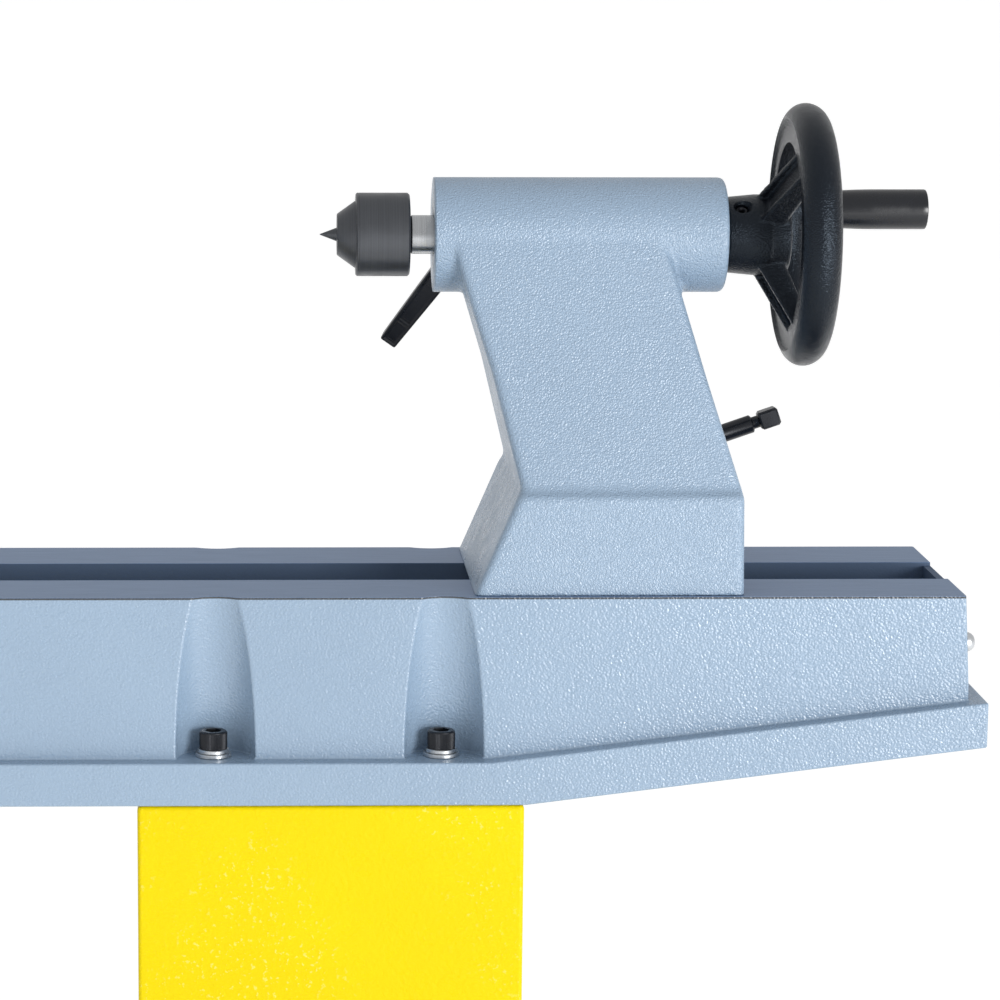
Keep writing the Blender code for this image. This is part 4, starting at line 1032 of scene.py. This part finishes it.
def make_knobs(front, knob, switch, start, stop):
    outline = knurled(knob.x, knob.z, 0.016, 0.0007, 24)
    dial = prism("speed_knob_fine", outline, "Y", front - 0.0205, front - 0.004)
    union(dial, turned("skirt", [(-0.0042, 0.0162), (-0.0016, 0.017), (-GAP, 0.017)], "Y",
                       (knob.x, front, knob.z), 64),
          turned("face", mm((-22, 13), (-21.2, 14.2), (-20, 15)), "Y", (knob.x, front, knob.z), 64),
          rod("stem", -0.001, 0.012, 0.004, "Y", (knob.x, front, knob.z), 32))
    dress(dial, "speed_knob", PLASTIC, "speed_knob")
    mark = box("speed_knob_mark", (-0.0006, -0.0222, 0.005), (0.0006, -0.0219, 0.0135))
    dress(about(mark, (knob.x, front, knob.z), radians(-135), "Y"), "speed_knob", PALE)
    spun("start_button", mm((-9, 7.4), (-8.6, 8.4), (-7.8, 9), (10, 9)), "Y", GREEN,
         (start.x, front, start.z), segments=64)
    spun("stop_button", mm((-20, 8), (-19.6, 11.5), (-18, 14.2), (-16, 15.4),
                         (-10, 15.5), (-8.5, 14.8), (-8.5, 8), (10, 8)), "Y", RED,
         (stop.x, front, stop.z), segments=64)
    lever = turned("direction_switch_fine", [(-0.008, 0.0108), (-0.0072, 0.012), (-GAP, 0.012)], "Y",
                   (switch.x, front, switch.z), 64)
    bar = box("bar", (switch.x - 0.0035, front - 0.018, switch.z - 0.013),
              (switch.x + 0.0035, front - 0.004, switch.z + 0.013))
    soften(bar, 0.0012, 3)
    union(lever, bar, rod("stem", -0.004, 0.01, 0.004, "Y", (switch.x, front, switch.z), 32))
    dress(lever, "direction_switch", PLASTIC, "direction_switch")


def make_index_pin():
    spot = (INDEX_X, 0, TOP + 0.31)
    pin = mm((-31.5, 2.6), (-30.6, 3.5), (15, 3.5), (15, 9.2), (15.8, 10.2), (18.5, 10.2), (19, 11.4),
             (20, 12), (29.5, 12), (31, 11.4), (33, 8))
    spun("index_pin", pin, "Z", OXIDE, spot, segments=64)


# ---- tool rest ----------------------------------------------------------------------------------
BANJO = Vector(JOINTS["banjo_swivel_turn"]["pos_m"])
REST_Y = JOINTS["rest_turn"]["pos_m"][1]


def make_banjo():
    x = BANJO.x
    outline = [(x + a, b) for a, b in arc(0, REST_Y, 0.036, 180, 360, 32) + [(0.04, 0.0)]
               + arc(0, 0.07, 0.026, 0, 180, 24) + [(-0.04, 0.0)]]
    banjo = prism("banjo_casting", outline, "Z", TOP + GAP, TOP + 0.034)
    socket = mm((10, 34.5), (36, 31), (50, 26.5), (103.5, 26), (105, 24.5))
    union(banjo, turned("socket", [(TOP + z, r) for z, r in socket], "Z", (x, REST_Y, 0)))
    cast(banjo, 0.0012, 4)
    cut(banjo, box("slot", (x - 0.009, -0.04, TOP - 0.01), (x + 0.009, 0.064, TOP + 0.05)),
        rod("bore", TOP + 0.006, TOP + 0.12, 0.0129, "Z", (x, REST_Y, 0)),
        rod("lock_hole", REST_Y - 0.04, REST_Y - 0.005, 0.0054, "Y", (x, 0, TOP + 0.08), 48))
    dress(banjo, "banjo", PAINT, "banjo")
    spot = (x, 0, TOP)
    bolt = turned("banjo_clamp_bolt_fine", mm((-45, 8), (63, 8), (64, 7)), "Z", spot, 64)
    nut = hexagon("nut", spot, 0.0134, TOP - 0.054, TOP - 0.0413)
    soften(nut, 0.0008, 2)
    union(bolt, nut)
    dress(bolt, "banjo_carriage", OXIDE, "banjo_clamp_bolt")
    plate = box("banjo_clamp_plate_fine", (x - 0.032, -0.048, TOP - 0.041),
                (x + 0.032, 0.048, TOP - 0.0283))
    soften(plate, 0.0015, 2)
    cut(plate, rod("hole", -0.06, 0.0, 0.0084, "Z", spot, 48))
    dress(plate, "banjo_carriage", OXIDE, "banjo_clamp_plate")
    spun("banjo_washer", tube(0.0343, 0.0395, 0.0084, 0.018), "Z", ZINC, spot, closed=True)
    lever = ring("banjo_lever_fine", tube(0.04, 0.064, 0.0084, 0.0145, 0.0015), "Z", spot, 64)
    start, end = Vector((0.0115, 0.004, 0.052)), Vector((0.085, 0.075, 0.08))
    shape = [(0, 0.006), (0.55, 0.005), (0.62, 0.005), (0.7, 0.0082), (0.9, 0.0096), (0.97, 0.0084),
             (1.0, 0.004)]
    arm = between("arm", Vector(spot) + start, Vector(spot) + end, 0, 48, shape)
    union(lever, arm)
    dress(lever, "banjo_lever", OXIDE, "banjo_lever")


def make_tool_rest():
    x = BANJO.x
    spot = (x, REST_Y, TOP)
    collar = ring("rest_collar_fine", tube(0.1053, 0.116, 0.0129, 0.02, 0.001), "Z", spot, 64)
    cut(collar, box("split", (x + 0.01, REST_Y - 0.0007, TOP + 0.1),
                    (x + 0.03, REST_Y + 0.0007, TOP + 0.12)))
    dress(collar, "rest_collar", OXIDE, "rest_collar")
    y = REST_Y
    outline = [(y - 0.028, 0.176), (y + 0.006, 0.176), (y + 0.013, 0.182), (y + 0.018, 0.2185),
               (y + 0.0165, 0.2225), (y + 0.0125, 0.223), (y + 0.004, 0.2115), (y - 0.004, 0.199),
               (y - 0.014, 0.19), (y - 0.028, 0.186)]
    blade = prism("tool_rest_casting", [(a, TOP + b) for a, b in outline], "X", x - 0.15, x + 0.15)
    neck = mm((150, 12.4), (168, 14), (178, 17.5), (184, 17.5))
    union(blade, turned("neck", [(TOP + z, r) for z, r in neck], "Z", (x, y, 0)))
    cast(blade, 0.0013, 4)
    post = rod("post", TOP + 0.04, TOP + 0.155, 0.0125, "Z", (x, y, 0))
    dress(blade, "tool_rest", PAINT, "tool_rest")
    dress(post, "tool_rest", STEEL_Z)
    post.name = "rest_post"
    hub = mm((-48, 6.6), (-47.2, 8), (-45.5, 9.5), (-30, 10), (-26.8, 9.6), (-26.5, 5), (-15, 5))
    centre = Vector((x, y, TOP + 0.08))
    lever = turned("rest_lock_lever_fine", hub, "Y", centre, 64)
    shape = [(0, 0.0052), (0.6, 0.0044), (0.8, 0.0058), (0.94, 0.0062), (1.0, 0.003)]
    start, end = Vector((0.004, -0.038, 0.004)), Vector((0.045, -0.044, 0.045))
    union(lever, between("arm", centre + start, centre + end, 0, 48, shape))
    dress(lever, "rest_lock_lever", OXIDE, "rest_lock_lever")


# ---- camera, floor and light --------------------------------------------------------------------
def make_camera():
    """At the tailstock end, a little from the left and above."""
    data = bpy.data.cameras.new("camera")
    data.sensor_width = 36.0
    data.lens = 120.65
    data.shift_x = 0.1669
    data.clip_end = 500.0
    camera = bpy.data.objects.new("camera", data)
    bpy.context.scene.collection.objects.link(camera)
    pan, tilt, roll = 0.0251, 0.1681, 0.003
    ahead = Vector((sin(pan) * cos(tilt), cos(pan) * cos(tilt), -sin(tilt)))
    right = Vector((cos(pan), -sin(pan), 0))
    above = right.cross(ahead)
    across = right * cos(roll) + above * sin(roll)
    upward = above * cos(roll) - right * sin(roll)
    turn = Matrix((across, upward, -ahead)).transposed()
    camera.matrix_world = Matrix.Translation((TAIL_X - 0.2292, -2.2491, TOP + 0.4313)) @ turn.to_4x4()
    bpy.context.scene.camera = camera


def make_stage():
    size = 300.0
    floor = box("floor", (-size, -size, -0.02), (size, size, -0.0002))
    s = Shader("pale_floor", (0.93, 0.93, 0.93), 0.9)
    s.wear((0.9, 0.9, 0.9), 0.3, 0.4)
    s.bsdf.inputs["Emission Color"].default_value = (1.0, 1.0, 1.0, 1.0)
    s.bsdf.inputs["Emission Strength"].default_value = 0.36
    floor.data.materials.append(s.mat)
    scene = bpy.context.scene
    world = bpy.data.worlds.new("studio")
    world.use_nodes = True
    world.node_tree.nodes["Background"].inputs["Color"].default_value = (1.0, 1.0, 1.0, 1.0)
    world.node_tree.nodes["Background"].inputs["Strength"].default_value = 0.7
    scene.world = world
    scene.view_settings.view_transform = "Standard"
    area_light("key", (3.0, -3.6, 1.1), (0.45, 0, 1.0), 1.6, 130.0)
    area_light("fill", (-2.6, -3.4, 1.4), (0.2, 0, 1.0), 1.6, 5.0)


def area_light(name, spot, aim, size, power):
    data = bpy.data.lights.new(name, "AREA")
    data.shape = "SQUARE"
    data.size = size
    data.energy = power
    lamp = bpy.data.objects.new(name, data)
    lamp.location = spot
    lamp.rotation_euler = (Vector(aim) - Vector(spot)).to_track_quat("-Z", "Y").to_euler()
    bpy.context.scene.collection.objects.link(lamp)


make_camera()
make_stage()
make_bed()
make_end_screw()
for i, (bolt_x, bolt_side) in enumerate(bolt_places()):
    make_bolt(i + 1, bolt_x, bolt_side)
make_legs()
make_tailstock()
make_quill()
make_handwheel()
make_quill_lock()
make_clamp()
make_headstock()
make_spindle()
make_motor()
make_door()
make_controls()
make_index_pin()
make_banjo()
make_tool_rest()
